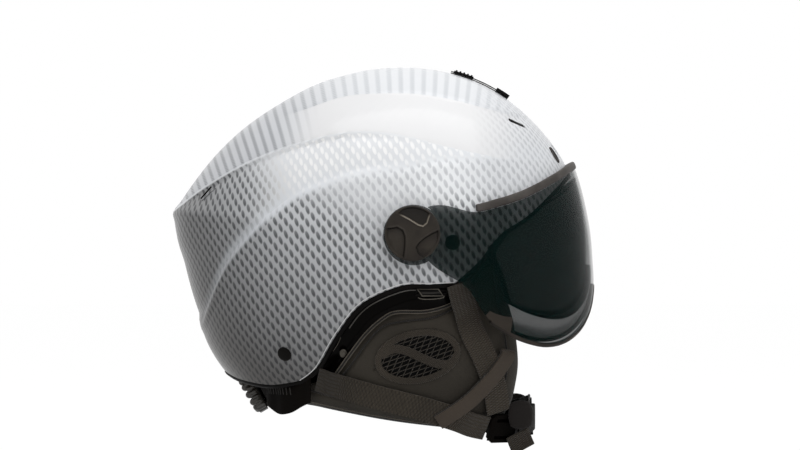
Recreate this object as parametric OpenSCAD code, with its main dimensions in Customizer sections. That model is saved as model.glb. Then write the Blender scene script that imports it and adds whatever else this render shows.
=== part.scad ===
// Open-face flying helmet: outer shell over a foam liner, double visor on side pivots, ear pads,
// chin strap with a side-release buckle, crown vent slider and rear size dial.
// Millimetres. +X points to the face, +Y to the wearer's left and +Z up. The origin is the middle of
// the visor's pivot axis, which runs along Y. Paired pieces are made for the right and mirrored.

/* [Shell] */
// Half of the shell's width, at the visor pivots
half_width = 110; // [106:1:116]
// Wall of the outer shell
shell_wall = 2.2; // [1.6:0.2:3]
// Depth of the channel pressed into each side of the shell
channel_depth = 3.2; // [1:0.2:4]
// How far the rubber edge trim stands proud of the shell
trim_proud = 0.6; // [0.2:0.1:0.8]
// Width of the edge trim
trim_width = 3; // [2:0.5:4]
// Gap between layers that are glued, clipped or resting on each other
layer_gap = 0.4; // [0.3:0.1:0.6]
// Widest part of the black lower shell round the ear
lower_shell_width = 13; // [9:1:15]
// Wall of the lower shell
lower_shell_wall = 1.6; // [1.2:0.2:2]

/* [Vents] */
// Width of the crown vent slider
slider_width = 26; // [20:1:30]
// Angle about the pivot axis that the slider covers, degrees
slider_angle = 7; // [6.5:0.5:8]
// Wall of the slider
slider_wall = 1.4; // [1:0.1:1.6]
// Length of the slots in the shell
slot_length = 14; // [10:1:18]
// Width of the slots in the shell
slot_width = 4; // [3:0.5:5]

/* [Liner] */
// Thickness of the foam liner at the pivots
liner_wall = 20; // [16:1:22]
// Thickness of the comfort pads inside the liner
comfort_pad_wall = 6; // [4:1:8]
// Thickness of an ear pad
ear_pad_wall = 15; // [10:1:18]
// How far the middle of an ear pad bulges
ear_pad_crown = 3; // [1:0.5:4]
// Thickness of the mesh over the ear
mesh_wall = 0.8; // [0.6:0.1:1]

/* [Visor] */
// Wall of the outer lens
outer_lens_wall = 1.8; // [1.4:0.2:2]
// Wall of the inner lens
inner_lens_wall = 1; // [0.8:0.1:1.1]
// Radius of the round tab at each end of the outer lens
tab_radius = 20.5; // [19:0.5:22]
// Radius of the hub that a tab turns on
hub_radius = 6; // [5:0.5:8]
// Radius of the stud that a knob turns on
stud_radius = 4; // [3:0.5:4.5]
// Radial clearance of a shaft in its hole
running_gap = 0.08; // [0.05:0.01:0.1]
// Gap between pieces that slide past each other
slide_gap = 0.3; // [0.2:0.05:0.4]
// Radius of a pivot knob
knob_radius = 18.5; // [17:0.5:20]
// Height of a pivot knob
knob_height = 9; // [7:0.5:11]
// Depth of the three finger lobes in a knob
knob_lobe_depth = 3; // [1:0.5:4]
// Width of the rubber brow seal on the lens's upper edge
seal_width = 5.5; // [4:0.5:7]
// Width of the rubber trim on the lens's lower edge
edge_width = 2.4; // [1.6:0.2:3]

/* [Straps] */
// Width of the webbing
webbing_width = 17; // [15:1:18]
// Thickness of the webbing
webbing_wall = 1.4; // [1:0.1:1.6]
// Width of the binding tape over the straps
tape_width = 8; // [6:1:10]
// Side length of the strap divider
divider_size = 20; // [19:1:22]
// Thickness of the strap divider
divider_wall = 4; // [3.4:0.2:5]
// Height of the chin pad
chin_pad_height = 29; // [24:1:32]
// Thickness of the chin pad
chin_pad_wall = 9; // [7:1:11]

/* [Buckle] */
// Length of the buckle's socket
buckle_length = 26; // [25:1:27]
// Width of the buckle
buckle_width = 26; // [24:1:30]
// Thickness of the buckle
buckle_wall = 8; // [7:0.5:9]
// Width of one release arm
arm_width = 4; // [3:0.5:5]

/* [Size dial] */
// Radius of the dial
dial_radius = 15; // [13:0.5:16]
// Thickness of the dial
dial_wall = 6; // [5:0.5:7]
// Number of teeth on the dial's pinion
pinion_teeth = 10; // [9:1:11]
// Distance between neighbouring teeth
tooth_pitch = 3.2; // [3:0.1:3.4]
// Thickness of a rack band
band_wall = 1.2; // [1:0.1:1.4]
// Height of a rack band
band_height = 18; // [17:0.5:20]
// Wall of the adjuster's housing and cover
housing_wall = 1.6; // [1.2:0.2:2]

/* [Hidden] */
$fn = 64;

// Roundness of the dome: 2 is an ellipse, more is boxier
dome_power = 2.3;
// Distance from the pivot axis to the shell's outline in side view, as [angle from the front, distance]
shell_radii = [
    [-121, 140], [-100, 120], [-80, 115], [-40, 114.5], [0, 114.5], [22, 115.4], [40, 113.3], [58, 112.9],
    [90, 113.8], [110, 117.2], [121, 121], [136, 127.5], [151, 139.3], [164, 151], [175, 165.4],
    [188, 158.2], [200, 157.8], [209, 160], [216, 160], [229, 158], [239, 140]
];
// The same for the inside of the liner, before the liner's wall is taken off
liner_radii = [
    [-121, 132], [-80, 112], [22, 112], [58, 110.5], [90, 111.4], [121, 118], [151, 134], [175, 145],
    [200, 148], [216, 149], [239, 136]
];
// The same for the outside of the outer lens and of the inner lens
outer_lens_radii = [[-62, 143], [-50, 143], [-40, 141.4], [-30, 138], [-23, 134.2], [-15, 129.5], [-8, 125.5],
    [0, 122.8], [8, 121], [16, 120.5], [24, 120.7], [54, 121]];
inner_lens_radii = [[-60, 127], [-28, 123], [-18, 120.5], [-10, 118.8], [0, 118.1], [54, 118]];

// Angles about the pivot axis at which the shell begins over the face and ends at the nape
face_angle = 21;
nape_angle = 216;
// The shell's edge in side view, as [x, z]: over the face, round the ear and under the nape
face_rim = [[107.7, 41.3], [80, 14], [58, -2], [44, -19], [28.6, -33]];
ear_rim = [[28.6, -33], [12, -34], [-8, -35], [-34, -47], [-51, -68], [-64, -90], [-76, -99.5]];
nape_rim = [[-129, -94.5], [-117, -99.5], [-96, -102.5], [-76, -99.5]];
// Upper and lower crease of the side channel in side view
channel_top = [[-165, 14], [-141, 31], [-110, 48], [-75, 60.5], [-38, 67.5], [-1, 64], [19, 59], [60, 50]];
channel_bottom = [[-143, -60], [-127, -25], [-111, -4.5], [-98, 8], [-78, 23], [-60, 31], [-40, 38],
    [-5, 43.5], [15, 48.5], [60, 50]];
channel_front = 25;
channel_run = 110;
crease_width = 6;
// The outer lens's upper and lower edge, as [angle from the front, angle round the side], for half a lens
lens_top = [[54, 6], [24, 12.5], [17.6, 18.5], [16.9, 27], [17, 36], [18, 44.5], [19.1, 53], [20.1, 62.5],
    [21, 74], [21.3, 90]];
lens_bottom = [[-62, 5.5], [-50, 12], [-45, 18], [-48.3, 27.7], [-46, 37.5], [-43, 46], [-39, 56], [-33, 67],
    [-24, 79.5], [-16, 90]];
// Part of the outer lens that the inner lens and its gasket take up, across and upwards
gasket_across = [0.27, 0.73];
gasket_upwards = [0.12, 0.93];
gasket_band = 0.08;

// Distances worked out from the sizes above
liner_depth = shell_wall + layer_gap;
lower_shell_depth = shell_wall + 2 * layer_gap;
band_depth = lower_shell_depth + lower_shell_wall + layer_gap;
edge_gap = 0.2;
base_wall = 1;
base_radius = 15;
lens_inside = half_width + layer_gap + base_wall + slide_gap;
outer_lens_width = lens_inside + outer_lens_wall;
inner_lens_width = outer_lens_width - outer_lens_wall - slide_gap;
washer_wall = 0.8;
washer_radius = 13;
knob_foot = outer_lens_width + washer_wall + 2 * slide_gap;
stud_length = 5;
knob_chamfer = 1.2;
pitch_radius = pinion_teeth * tooth_pitch / 360 * 180 / PI;
tooth_height = 2;

shell_dome = [half_width, shell_radii];
liner_dome = [half_width - liner_depth - liner_wall, [for (e = liner_radii) [e[0], e[1] - liner_wall]]];
outer_lens_dome = [outer_lens_width, outer_lens_radii];
inner_lens_dome = [inner_lens_width, inner_lens_radii];

// Number of cells along and across the shell, and along and across the lens
shell_cells = [32, 13];
lens_cells = [44, 12];

// How far an ear pad's face lies inside the shell's half width
ear_inset = 12;

// Strap divider: its middle, with its forward, upward and outward directions
divider_plan = [59.5, -131];
divider_middle = [divider_plan[0], -ear_face(divider_plan), divider_plan[1]];
divider_out = pad_normal(divider_plan);
divider_forward = unit([-divider_out[1], divider_out[0], 0]);
divider_up = cross(divider_out, divider_forward);

// Buckle: where its socket begins, and its tilt and turn; the arms' hinges are beside its tongue
buckle_start = 24.5;
buckle_tilt = 7.33;
buckle_turn = 108.1;
arm_hinge = [24, 8.5];
arm_root = 2;

// Size dial: its place, its teeth and the travel of its racks for 60 degrees each way
dial_place = [-100.8, 0, -104.7];
dial_tilt = -120;
post_radius = 2;
tooth_share = 0.42;
tooth_angle = 25;
pinion_tip = pitch_radius + 0.9;
pinion_root = pitch_radius - 0.8;
neck_radius = pinion_tip + 0.3;
rack_travel = pitch_radius * PI / 3;
rack_slot = pitch_radius + 2.3 + rack_travel;
rack_end = rack_slot + 2.4;
rack_bend = rack_end + 2 * rack_travel + 1.2;
housing_half = rack_bend - rack_travel - 0.6;
housing_height = band_height / 2 + 4;
right_layer = housing_wall + 0.2;
left_layer = right_layer + band_wall + 0.2;
cover_layer = left_layer + band_wall + layer_gap;
dial_layer = cover_layer + housing_wall - 0.2 + layer_gap;

// Value at x of the smooth curve through a table of [x, value]
function smooth_at(table, x) =
    let (
        last = len(table) - 1,
        i = max([0, for (k = [0 : last - 1]) if (x >= table[k][0]) k]),
        a = table[i],
        b = table[i + 1],
        before = table[max(i - 1, 0)],
        after = table[min(i + 2, last)],
        span = b[0] - a[0],
        f = min(max((x - a[0]) / span, 0), 1),
        rise_a = (b[1] - before[1]) / (b[0] - before[0]) * span,
        rise_b = (after[1] - a[1]) / (after[0] - a[0]) * span
    )
    (1 + 2 * f) * pow(1 - f, 2) * a[1] + f * pow(1 - f, 2) * rise_a
        + f * f * (3 - 2 * f) * b[1] + f * f * (f - 1) * rise_b;

// Point at share t of the smooth curve through a list of points
function along(points, t) =
    let (
        last = len(points) - 1,
        s = min(max(t, 0), 1) * last,
        i = min(floor(s), last - 1),
        f = s - i,
        p0 = points[max(i - 1, 0)],
        p1 = points[i],
        p2 = points[i + 1],
        p3 = points[min(i + 2, last)]
    )
    0.5 * (2 * p1 + (p2 - p0) * f + (2 * p0 - 5 * p1 + 4 * p2 - p3) * f * f
        + (3 * p1 - p0 - 3 * p2 + p3) * f * f * f);

function mix(a, b, t) = a + (b - a) * t;
function unit(v) = v / norm(v);
function soft_step(x) = let (f = min(max(x, 0), 1)) f * f * (3 - 2 * f);
function signed_pow(v, e) = sign(v) * pow(abs(v), e);

// A dome is [half width, radii]. theta turns about the pivot axis from the front upwards, and lat runs
// from 0 at the right pivot through 90 at the middle to 180 at the left pivot. depth goes inwards.
function dome(surface, theta, lat, depth = 0) =
    let (
        r = (smooth_at(surface[1], theta) - depth) * pow(sin(lat), 2 / dome_power),
        y = -(surface[0] - depth) * signed_pow(cos(lat), 2 / dome_power)
    )
    [r * cos(theta), y, r * sin(theta)];
function theta_of(xz) = let (a = atan2(xz[1], xz[0])) a < -121 ? a + 360 : a;
function lat_of(surface, xz) =
    asin(pow(min(1, norm(xz) / smooth_at(surface[1], theta_of(xz))), dome_power / 2));
// Point of a dome that is seen at [x, z] from the side
function over(surface, xz, depth = 0, left = false) =
    let (lat = lat_of(surface, xz)) dome(surface, theta_of(xz), left ? 180 - lat : lat, depth);
function normal_at(surface, theta, lat) =
    let (
        step = 0.5,
        d_theta = dome(surface, theta + step, lat) - dome(surface, theta - step, lat),
        d_lat = dome(surface, theta, lat + step) - dome(surface, theta, lat - step)
    )
    unit(cross(d_lat, d_theta));

// The shell in side view: u runs from the face to the nape, t from the crown line to the ear
function crown_point(u) =
    let (a = mix(face_angle, nape_angle, u), r = smooth_at(shell_radii, a)) [r * cos(a), r * sin(a)];
function shell_plan(u, t) =
    mix(crown_point(u), along(ear_rim, u), t) + mix(along(face_rim, t), along(nape_rim, t), u)
        - mix(mix(crown_point(0), crown_point(1), u), mix(ear_rim[0], ear_rim[len(ear_rim) - 1], u), t);
function channel(xz) =
    channel_depth * soft_step((channel_front - xz[0]) / channel_run)
        * soft_step((smooth_at(channel_top, xz[0]) - xz[1]) / crease_width)
        * soft_step((xz[1] - smooth_at(channel_bottom, xz[0])) / crease_width);
function shell_point(surface, u, v, depth) =
    let (xz = shell_plan(u, pow(abs(v), dome_power)), theta = theta_of(xz), lat = lat_of(shell_dome, xz))
    dome(surface, theta, v < 0 ? lat : 180 - lat, depth + (surface == shell_dome ? channel(xz) : 0));
function shell_grid(surface, depth) =
    [for (i = [0 : shell_cells[0]]) [for (j = [-shell_cells[1] : shell_cells[1]])
        shell_point(surface, i / shell_cells[0], j / shell_cells[1], depth)]];

// Outward direction of the ear rim in side view, and the edge of the lower shell at a distance below it
function rim_out(u) =
    let (t = unit(along(ear_rim, min(u + 0.02, 1)) - along(ear_rim, max(u - 0.02, 0)))) [-t[1], t[0]];
function band_width(u) = mix(4, lower_shell_width, pow(sin(180 * u), 0.6));
function below_rim(u, distance) = along(ear_rim, u) + rim_out(u) * distance;

// Square corners a and b, both from -1 to 1, rounded off, and a swelling that fades to their edges
function rounded(a, b) = [a * sqrt(1 - 0.35 * b * b), b * sqrt(1 - 0.35 * a * a)];
function bulge(a, b) = sqrt(max(0, (1 - pow(a, 4)) * (1 - pow(b, 4))));

// The outer lens: u runs from its right end to its left end and w from its lower to its upper edge
function whole_lens(half) = concat(half, [for (i = [len(half) - 2 : -1 : 0]) [half[i][0], 180 - half[i][1]]]);
lens_low = whole_lens(lens_bottom);
lens_high = whole_lens(lens_top);
function lens_point(surface, u, w, depth = 0) =
    let (e = mix(along(lens_low, u), along(lens_high, u), w)) dome(surface, e[0], e[1], depth);
function lens_patch(surface, u_range, w_range, cells, depth) =
    [for (i = [0 : cells[1]]) [for (j = [0 : cells[0]])
        lens_point(surface, mix(u_range[0], u_range[1], j / cells[0]), mix(w_range[0], w_range[1], i / cells[1]),
            depth)]];
// Point of the inner lens's patch at a and b, both from -1 to 1
function window(surface, a, b, depth) =
    let (e = rounded(a, b))
    lens_point(surface, mix(gasket_across[0], gasket_across[1], (e[0] + 1) / 2),
        mix(gasket_upwards[0], gasket_upwards[1], (e[1] + 1) / 2), depth);

// Outer face of an ear pad, as a distance from the middle plane, and its outward direction on the right
function ear_face(xz) = half_width - ear_inset - 0.0041 * pow(xz[0] + 5, 2) - 0.0025 * pow(xz[1] + 40, 2);
function pad_face(xz) =
    ear_face(xz) + ear_pad_crown * max(0, 1 - pow((xz[0] - 4) / 62, 2) - pow((xz[1] + 88) / 40, 2));
function pad_normal(xz) = unit([0.0082 * (xz[0] + 5), -1, 0.005 * (xz[1] + 40)]);
function on_pad(xz, lift = 0) = [xz[0], -pad_face(xz), xz[1]] + lift * pad_normal(xz);

// The chin strap's line, as a function of the distance from the middle plane, and its outward direction
function chin_line(y, out = 0, up = 0) =
    [82 - 0.00404 * y * y, y, -126.2 - 0.00167 * y * y] + out * chin_out(y) + [0, 0, up];
function chin_out(y) = unit([1, 0.00808 * y, 0]);

// Closed wall between two grids of the same size
module slab(outer, inner) {
    rows = len(outer) - 1;
    cols = len(outer[0]) - 1;
    n = (rows + 1) * (cols + 1);
    function at(i, j) = i * (cols + 1) + j;
    polyhedron(
        points = concat([for (row = outer) each row], [for (row = inner) each row]),
        faces = concat(
            [for (i = [0 : rows - 1], j = [0 : cols - 1]) each [
                [at(i, j), at(i + 1, j), at(i + 1, j + 1)],
                [at(i, j), at(i + 1, j + 1), at(i, j + 1)],
                [n + at(i, j), n + at(i + 1, j + 1), n + at(i + 1, j)],
                [n + at(i, j), n + at(i, j + 1), n + at(i + 1, j + 1)]]],
            [for (i = [0 : rows - 1]) each [
                [at(i, 0), n + at(i, 0), n + at(i + 1, 0)],
                [at(i, 0), n + at(i + 1, 0), at(i + 1, 0)],
                [at(i, cols), n + at(i + 1, cols), n + at(i, cols)],
                [at(i, cols), at(i + 1, cols), n + at(i + 1, cols)]]],
            [for (j = [0 : cols - 1]) each [
                [at(0, j), n + at(0, j + 1), n + at(0, j)],
                [at(0, j), at(0, j + 1), n + at(0, j + 1)],
                [at(rows, j), n + at(rows, j), n + at(rows, j + 1)],
                [at(rows, j), n + at(rows, j + 1), at(rows, j + 1)]]]));
}

// Solid through a list of sections, each with the same number of corners
module loft(sections, closed = false) {
    last = len(sections) - 1;
    n = len(sections[0]);
    function next(i) = closed ? (i + 1) % (last + 1) : i + 1;
    polyhedron(
        points = [for (section = sections) each section],
        faces = concat(
            [for (i = [0 : closed ? last : last - 1], k = [0 : n - 1])
                let (m = (k + 1) % n)
                each [[i * n + k, i * n + m, next(i) * n + m], [i * n + k, next(i) * n + m, next(i) * n + k]]],
            closed ? [] : [for (k = [1 : n - 2]) each [[0, k + 1, k], [last * n, last * n + k, last * n + k + 1]]]));
}

// Bar whose outline, as [sideways, outwards] points, follows a path with its outward directions
module bar(path, outward, outline, closed = false) {
    last = len(path) - 1;
    function next(i) = closed ? (i + 1) % (last + 1) : min(i + 1, last);
    function prior(i) = closed ? (i + last) % (last + 1) : max(i - 1, 0);
    function side(i) = unit(cross(path[next(i)] - path[prior(i)], outward[i]));
    loft([for (i = [0 : last]) [for (p = outline) path[i] + p[0] * side(i) + p[1] * outward[i]]], closed);
}
function strip(a, b, low, high) = [[a, low], [b, low], [b, high], [a, high]];

// Cushion inside an outline given clockwise in side view, between the faces at front and back distances
module cushion(outline, middle, wall) {
    shares = [1, 0.97, 0.9, 0.75, 0.5, 0.25];
    n = len(outline);
    rings = len(shares);
    function drop(s) = wall / 2 * (1 - sqrt(1 - pow(s, 6)));
    function plan(s, i) = middle + s * (outline[i] - middle);
    function front(xz, s) = [xz[0], -pad_face(xz) + drop(s), xz[1]];
    function back(xz, s) = [xz[0], -ear_face(xz) + wall - drop(s), xz[1]];
    function edge(xz) = [xz[0], -ear_face(xz) + wall / 2, xz[1]];
    function at(k, i) = k * n + i % n;
    polyhedron(
        points = concat(
            [for (i = [0 : n - 1]) edge(plan(1, i))],
            [for (k = [1 : rings - 1], i = [0 : n - 1]) front(plan(shares[k], i), shares[k])],
            [for (k = [1 : rings - 1], i = [0 : n - 1]) back(plan(shares[k], i), shares[k])],
            [front(middle, 0), back(middle, 0)]),
        faces = [for (i = [0 : n - 1]) each concat(
            [for (k = [0 : rings - 2]) each [
                [at(k, i), at(k, i + 1), at(k + 1, i + 1)],
                [at(k, i), at(k + 1, i + 1), at(k + 1, i)]]],
            [for (k = [0 : rings - 2])
                let (a = k == 0 ? 0 : k + rings - 1, b = k + rings)
                each [[at(a, i), at(b, i + 1), at(a, i + 1)], [at(a, i), at(b, i), at(b, i + 1)]]],
            [[at(rings - 1, i), at(rings - 1, i + 1), n * (2 * rings - 1)],
                [at(2 * rings - 2, i + 1), at(2 * rings - 2, i), n * (2 * rings - 1) + 1]])]);
}

// Pad on the liner's inner surface between two angles, thicker in the middle
module liner_pad(thetas, lats, cells) {
    function at(i, j, share) =
        let (
            a = 2 * i / cells[0] - 1,
            b = 2 * j / cells[1] - 1,
            e = rounded(a, b),
            depth = 2 * layer_gap + share * (1.5 + (comfort_pad_wall - 1.5) * bulge(a, b))
        )
        dome(liner_dome, mix(thetas[0], thetas[1], (e[0] + 1) / 2), mix(lats[0], lats[1], (e[1] + 1) / 2), depth);
    slab(
        [for (i = [0 : cells[0]]) [for (j = [0 : cells[1]]) at(i, j, 0)]],
        [for (i = [0 : cells[0]]) [for (j = [0 : cells[1]]) at(i, j, 1)]]);
}

module paired(left) {
    if (left)
        mirror([0, 1, 0]) children();
    else
        children();
}

// Turns the Z axis of its children to a direction and moves them to a point
module facing(point, direction) {
    translate(point)
        rotate([0, acos(direction[2]), atan2(direction[1], direction[0])])
            children();
}

// Places its children on the shell, facing out of it
module on_shell(theta, lat, depth = 0) {
    facing(dome(shell_dome, theta, lat, depth), normal_at(shell_dome, theta, lat))
        children();
}

// Turns the Z axis of its children to the wearer's right
module side_on() {
    rotate([90, 0, 0])
        children();
}

// Part of a ring about the pivot axis, between two radii, two angles and two distances from the middle plane
module crown_arc(radii, angles, sides) {
    rotate([90, 0, 0])
        rotate([0, 0, angles[0]])
            rotate_extrude(angle = angles[1] - angles[0])
                translate([radii[0], -sides[1]])
                    square([radii[1] - radii[0], sides[1] - sides[0]]);
}

// Box on the crown line: its middle at an angle, a height above the pivot axis and a distance to the side
module crown_box(angle, radius, side, size) {
    rotate([0, -angle, 0])
        translate([radius, side, 0])
            cube([size[0], size[1], size[2]], center = true);
}

bolt_plans = [[26.6, -6], [-85.6, -80.9]];
bolt_head_radius = 5;
bolt_radius = 3;
front_slit = [46.4, 65, 62.6];
rear_slit = [169, 63.1, 138];
brow_vent = [28.8, 80, 0];
slider_angles = [68.4, 68.4 + slider_angle];
crown_slot_angle = 65.6;
// Height of the slider's lower face over the shell
slider_lift = 0.94;
slider_radius = smooth_at(shell_radii, crown_slot_angle) + slider_lift;
// Angles of the bar that closes the slider's frame at its front
frame_bar = [54.6, 59.6];
frame_rail = 2;
crown_slot_side = slider_width / 2 - 7;
crown_slot_length = slot_length * 0.6;

// Boxes through the shell where its vents are, smaller by a gap all round
module vent_boxes(gap, depths) {
    for (left = [false, true], slit = [front_slit, rear_slit, brow_vent])
        paired(left)
            on_shell(slit[0], slit[1])
                rotate([0, 0, slit[2]])
                    translate([-slot_length / 2 + gap, -slot_width / 2 + gap, -depths[1]])
                        cube([slot_length * (slit[2] == 0 ? 0.6 : 1) - 2 * gap, slot_width - 2 * gap,
                            depths[1] - depths[0]]);
}

module outer_shell() {
    color("whitesmoke")
        difference() {
            slab(shell_grid(shell_dome, 0), shell_grid(shell_dome, shell_wall));
            vent_boxes(0, [-10, 12]);
            for (left = [false, true])
                paired(left) {
                    side_on()
                        translate([0, 0, half_width - 12])
                            cylinder(h = 20, r = stud_radius + 0.1);
                    for (xz = bolt_plans)
                        on_shell(theta_of(xz), lat_of(shell_dome, xz))
                            translate([0, 0, -8])
                                cylinder(h = 16, r = bolt_radius + 0.2, $fn = 32);
                    crown_box(crown_slot_angle, slider_radius, crown_slot_side, [16, slot_width, crown_slot_length]);
                }
        }
}

module shell_edge_trim() {
    cells = shell_cells;
    m = cells[1];
    loop = concat(
        [for (j = [-m : m - 1]) [0, j / m]],
        [for (i = [0 : cells[0] - 1]) [i / cells[0], 1]],
        [for (j = [m : -1 : -m + 1]) [1, j / m]],
        [for (i = [cells[0] : -1 : 1]) [i / cells[0], -1]]);
    path = [for (e = loop) shell_point(shell_dome, e[0], e[1], 0)];
    inner = [for (e = loop) shell_point(shell_dome, e[0], e[1], shell_wall)];
    color([0.03, 0.03, 0.03])
        bar(path, [for (i = [0 : len(path) - 1]) unit(path[i] - inner[i])],
            strip(edge_gap, edge_gap + trim_width, -shell_wall, trim_proud), closed = true);
}

// Patch of the shell's shape below the ear, from the face to the nape and between two distances below the rim
function skirt(from, to, rows, low, high, depth) =
    [for (i = [0 : rows])
        let (u = mix(from, to, i / rows))
        [for (distance = [low < 0 ? band_width(u) : low, high]) over(shell_dome, below_rim(u, distance), depth)]];

module lower_shell(left) {
    color([0.03, 0.03, 0.03])
        paired(left)
            slab(
                skirt(0, 1, 24, -1, edge_gap + trim_width + 0.3, lower_shell_depth),
                skirt(0, 1, 24, -1, edge_gap + trim_width + 0.3, lower_shell_depth + lower_shell_wall));
}

function liner_row(i, inner) =
    let (
        u = i / shell_cells[0],
        under = [for (distance = [band_width(u) - 1, 1]) below_rim(u, distance)],
        edges = [for (xz = under)
            inner ? dome(liner_dome, theta_of(xz), lat_of(shell_dome, xz)) : over(shell_dome, xz, band_depth)],
        m = shell_cells[1]
    )
    concat(
        edges,
        [for (j = [-m : m])
            shell_point(inner ? liner_dome : shell_dome, u, j / m, inner ? 0 : liner_depth)],
        [for (k = [1, 0]) [edges[k][0], -edges[k][1], edges[k][2]]]);

module eps_liner() {
    color([0.06, 0.06, 0.06])
        difference() {
            slab(
                [for (i = [0 : shell_cells[0]]) liner_row(i, false)],
                [for (i = [0 : shell_cells[0]]) liner_row(i, true)]);
            for (left = [false, true])
                paired(left)
                    crown_box(crown_slot_angle, slider_radius - liner_wall / 2 - 4, crown_slot_side,
                        [2 * liner_wall, slot_width, crown_slot_length]);
        }
}

module brow_pad() {
    color([0.1, 0.1, 0.11])
        liner_pad([24, 44], [40, 140], [5, 16]);
}

module crown_pad() {
    color([0.1, 0.1, 0.11])
        difference() {
            liner_pad([60, 115], [55, 125], [12, 12]);
            for (left = [false, true])
                paired(left)
                    crown_box(crown_slot_angle, slider_radius - liner_wall - 4, crown_slot_side,
                        [5 * comfort_pad_wall, slot_width + 2, crown_slot_length + 2]);
        }
}

module rear_pad() {
    color([0.1, 0.1, 0.11])
        liner_pad([150, 195], [60, 120], [10, 10]);
}

module temple_pad(left) {
    color([0.1, 0.1, 0.11])
        paired(left)
            liner_pad([100, 170], [25, 45], [14, 5]);
}

ear_pad_outline = concat(
    [[-76, -104]],
    [for (k = [14 : -1 : 0]) below_rim(k / 14, band_width(k / 14) + 0.6)],
    [[40, -30], [48, -22], [57, -19.5], [62, -28], [64, -45], [68.5, -61.7], [71.4, -85.5], [69.6, -102.7],
        [65.8, -116.6], [57.6, -126.8], [46, -131.5], [29, -131.5], [5.4, -129], [-18.2, -125.7],
        [-42, -121.4], [-62.4, -117.3], [-75.9, -113.9]]);

module ear_pad(left) {
    color([0.14, 0.13, 0.12])
        paired(left)
            cushion(ear_pad_outline, [12, -88], ear_pad_wall);
}

// Leaf-shaped patch on an ear pad: its middle, half its length and half its height in side view
function leaf(middle, half, lift) =
    [for (b = [-1, 0, 1]) [for (k = [-6 : 6])
        let (
            a = k / 6,
            p = [half[0] * a, half[1] * b * max(1 - a * a, 0.08)],
            turn = -22
        )
        on_pad(middle + [p[0] * cos(turn) - p[1] * sin(turn), p[0] * sin(turn) + p[1] * cos(turn)], lift)]];

module ear_mesh(left) {
    color([0.2, 0.2, 0.2])
        paired(left) {
            slab(leaf([12.3, -77.7], [18, 6], 0.5 + mesh_wall), leaf([12.3, -77.7], [18, 6], 0.5));
            slab(leaf([-3, -88.6], [18, 6], 0.5 + mesh_wall), leaf([-3, -88.6], [18, 6], 0.5));
        }
}

// Point over the lower shell at a share u of the ear rim and a distance below it
function on_band(u, distance, lift) = over(shell_dome, below_rim(u, distance), lower_shell_depth - lift);
function band_normal(u) =
    unit(cross(on_band(u, 4, 0) - on_band(u, band_width(u), 0), on_band(u + 0.03, 8, 0) - on_band(u - 0.03, 8, 0)));

module ear_pad_snap(left) {
    color([0.5, 0.5, 0.5])
        paired(left)
            facing(on_band(0.72, 8, 0), band_normal(0.72))
                translate([0, 0, 0.3]) {
                    cylinder(h = 0.8, r = 3.5, $fn = 32);
                    cylinder(h = 1.6, r = 2.2, $fn = 32);
                }
}

module pad_clip(left) {
    loop = [[0.07, 9], [0.16, 9.4], [0.25, 9.6], [0.25, 4.2], [0.16, 4.2], [0.07, 4.2]];
    path = [for (e = loop) on_band(e[0], e[1] - (e[1] > 5 ? 1.4 : -0.9), 0.3)];
    color([0.03, 0.03, 0.03])
        paired(left)
            bar(path, [for (e = loop) band_normal(e[0])], strip(-0.8, 0.8, 0, 1.2), closed = true);
}

module outer_lens() {
    color([0.1, 0.13, 0.14, 0.6]) {
        slab(lens_patch(outer_lens_dome, [0, 1], [0, 1], lens_cells, 0),
            lens_patch(outer_lens_dome, [0, 1], [0, 1], lens_cells, outer_lens_wall));
        for (left = [false, true])
            paired(left)
                side_on()
                    translate([0, 0, lens_inside])
                        difference() {
                            cylinder(h = outer_lens_wall, r = tab_radius);
                            translate([0, 0, -1])
                                cylinder(h = outer_lens_wall + 2, r = hub_radius + running_gap);
                        }
    }
}

module inner_lens() {
    color([0.1, 0.13, 0.14, 0.6])
        slab(
            [for (i = [0 : 10]) [for (j = [0 : 20]) window(inner_lens_dome, j / 10 - 1, i / 5 - 1, 0)]],
            [for (i = [0 : 10]) [for (j = [0 : 20]) window(inner_lens_dome, j / 10 - 1, i / 5 - 1, inner_lens_wall)]]);
}

module lens_gasket() {
    loop = concat(
        [for (j = [0 : 19]) [j / 10 - 1, -1]],
        [for (i = [0 : 9]) [1, i / 5 - 1]],
        [for (j = [20 : -1 : 1]) [j / 10 - 1, 1]],
        [for (i = [10 : -1 : 1]) [-1, i / 5 - 1]]);
    s = 1 - gasket_band;
    color([0.04, 0.04, 0.04])
        loft([for (e = loop) [
            window(inner_lens_dome, e[0] * s, e[1] * s, -0.25),
            window(inner_lens_dome, e[0], e[1], -0.25),
            window(outer_lens_dome, e[0], e[1], outer_lens_wall + 0.45),
            window(outer_lens_dome, e[0] * s, e[1] * s, outer_lens_wall + 0.45)]], closed = true);
}

module lens_rim(shares, w, outline) {
    path = [for (u = shares) lens_point(outer_lens_dome, u, w)];
    inner = [for (u = shares) lens_point(outer_lens_dome, u, w, outer_lens_wall)];
    bar(path, [for (i = [0 : len(path) - 1]) unit(path[i] - inner[i])], outline);
}

module brow_seal() {
    color([0.05, 0.05, 0.05])
        lens_rim([for (j = [39 : -1 : 5]) j / 44], 1,
            strip(edge_gap, edge_gap + seal_width, -outer_lens_wall - 0.6, 1.2));
}

module lens_edge_trim() {
    color([0.04, 0.04, 0.04])
        lens_rim([for (j = [8 : 36]) j / 44], 0,
            strip(edge_gap, edge_gap + edge_width, -outer_lens_wall - 0.3, 0.3));
}

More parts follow.
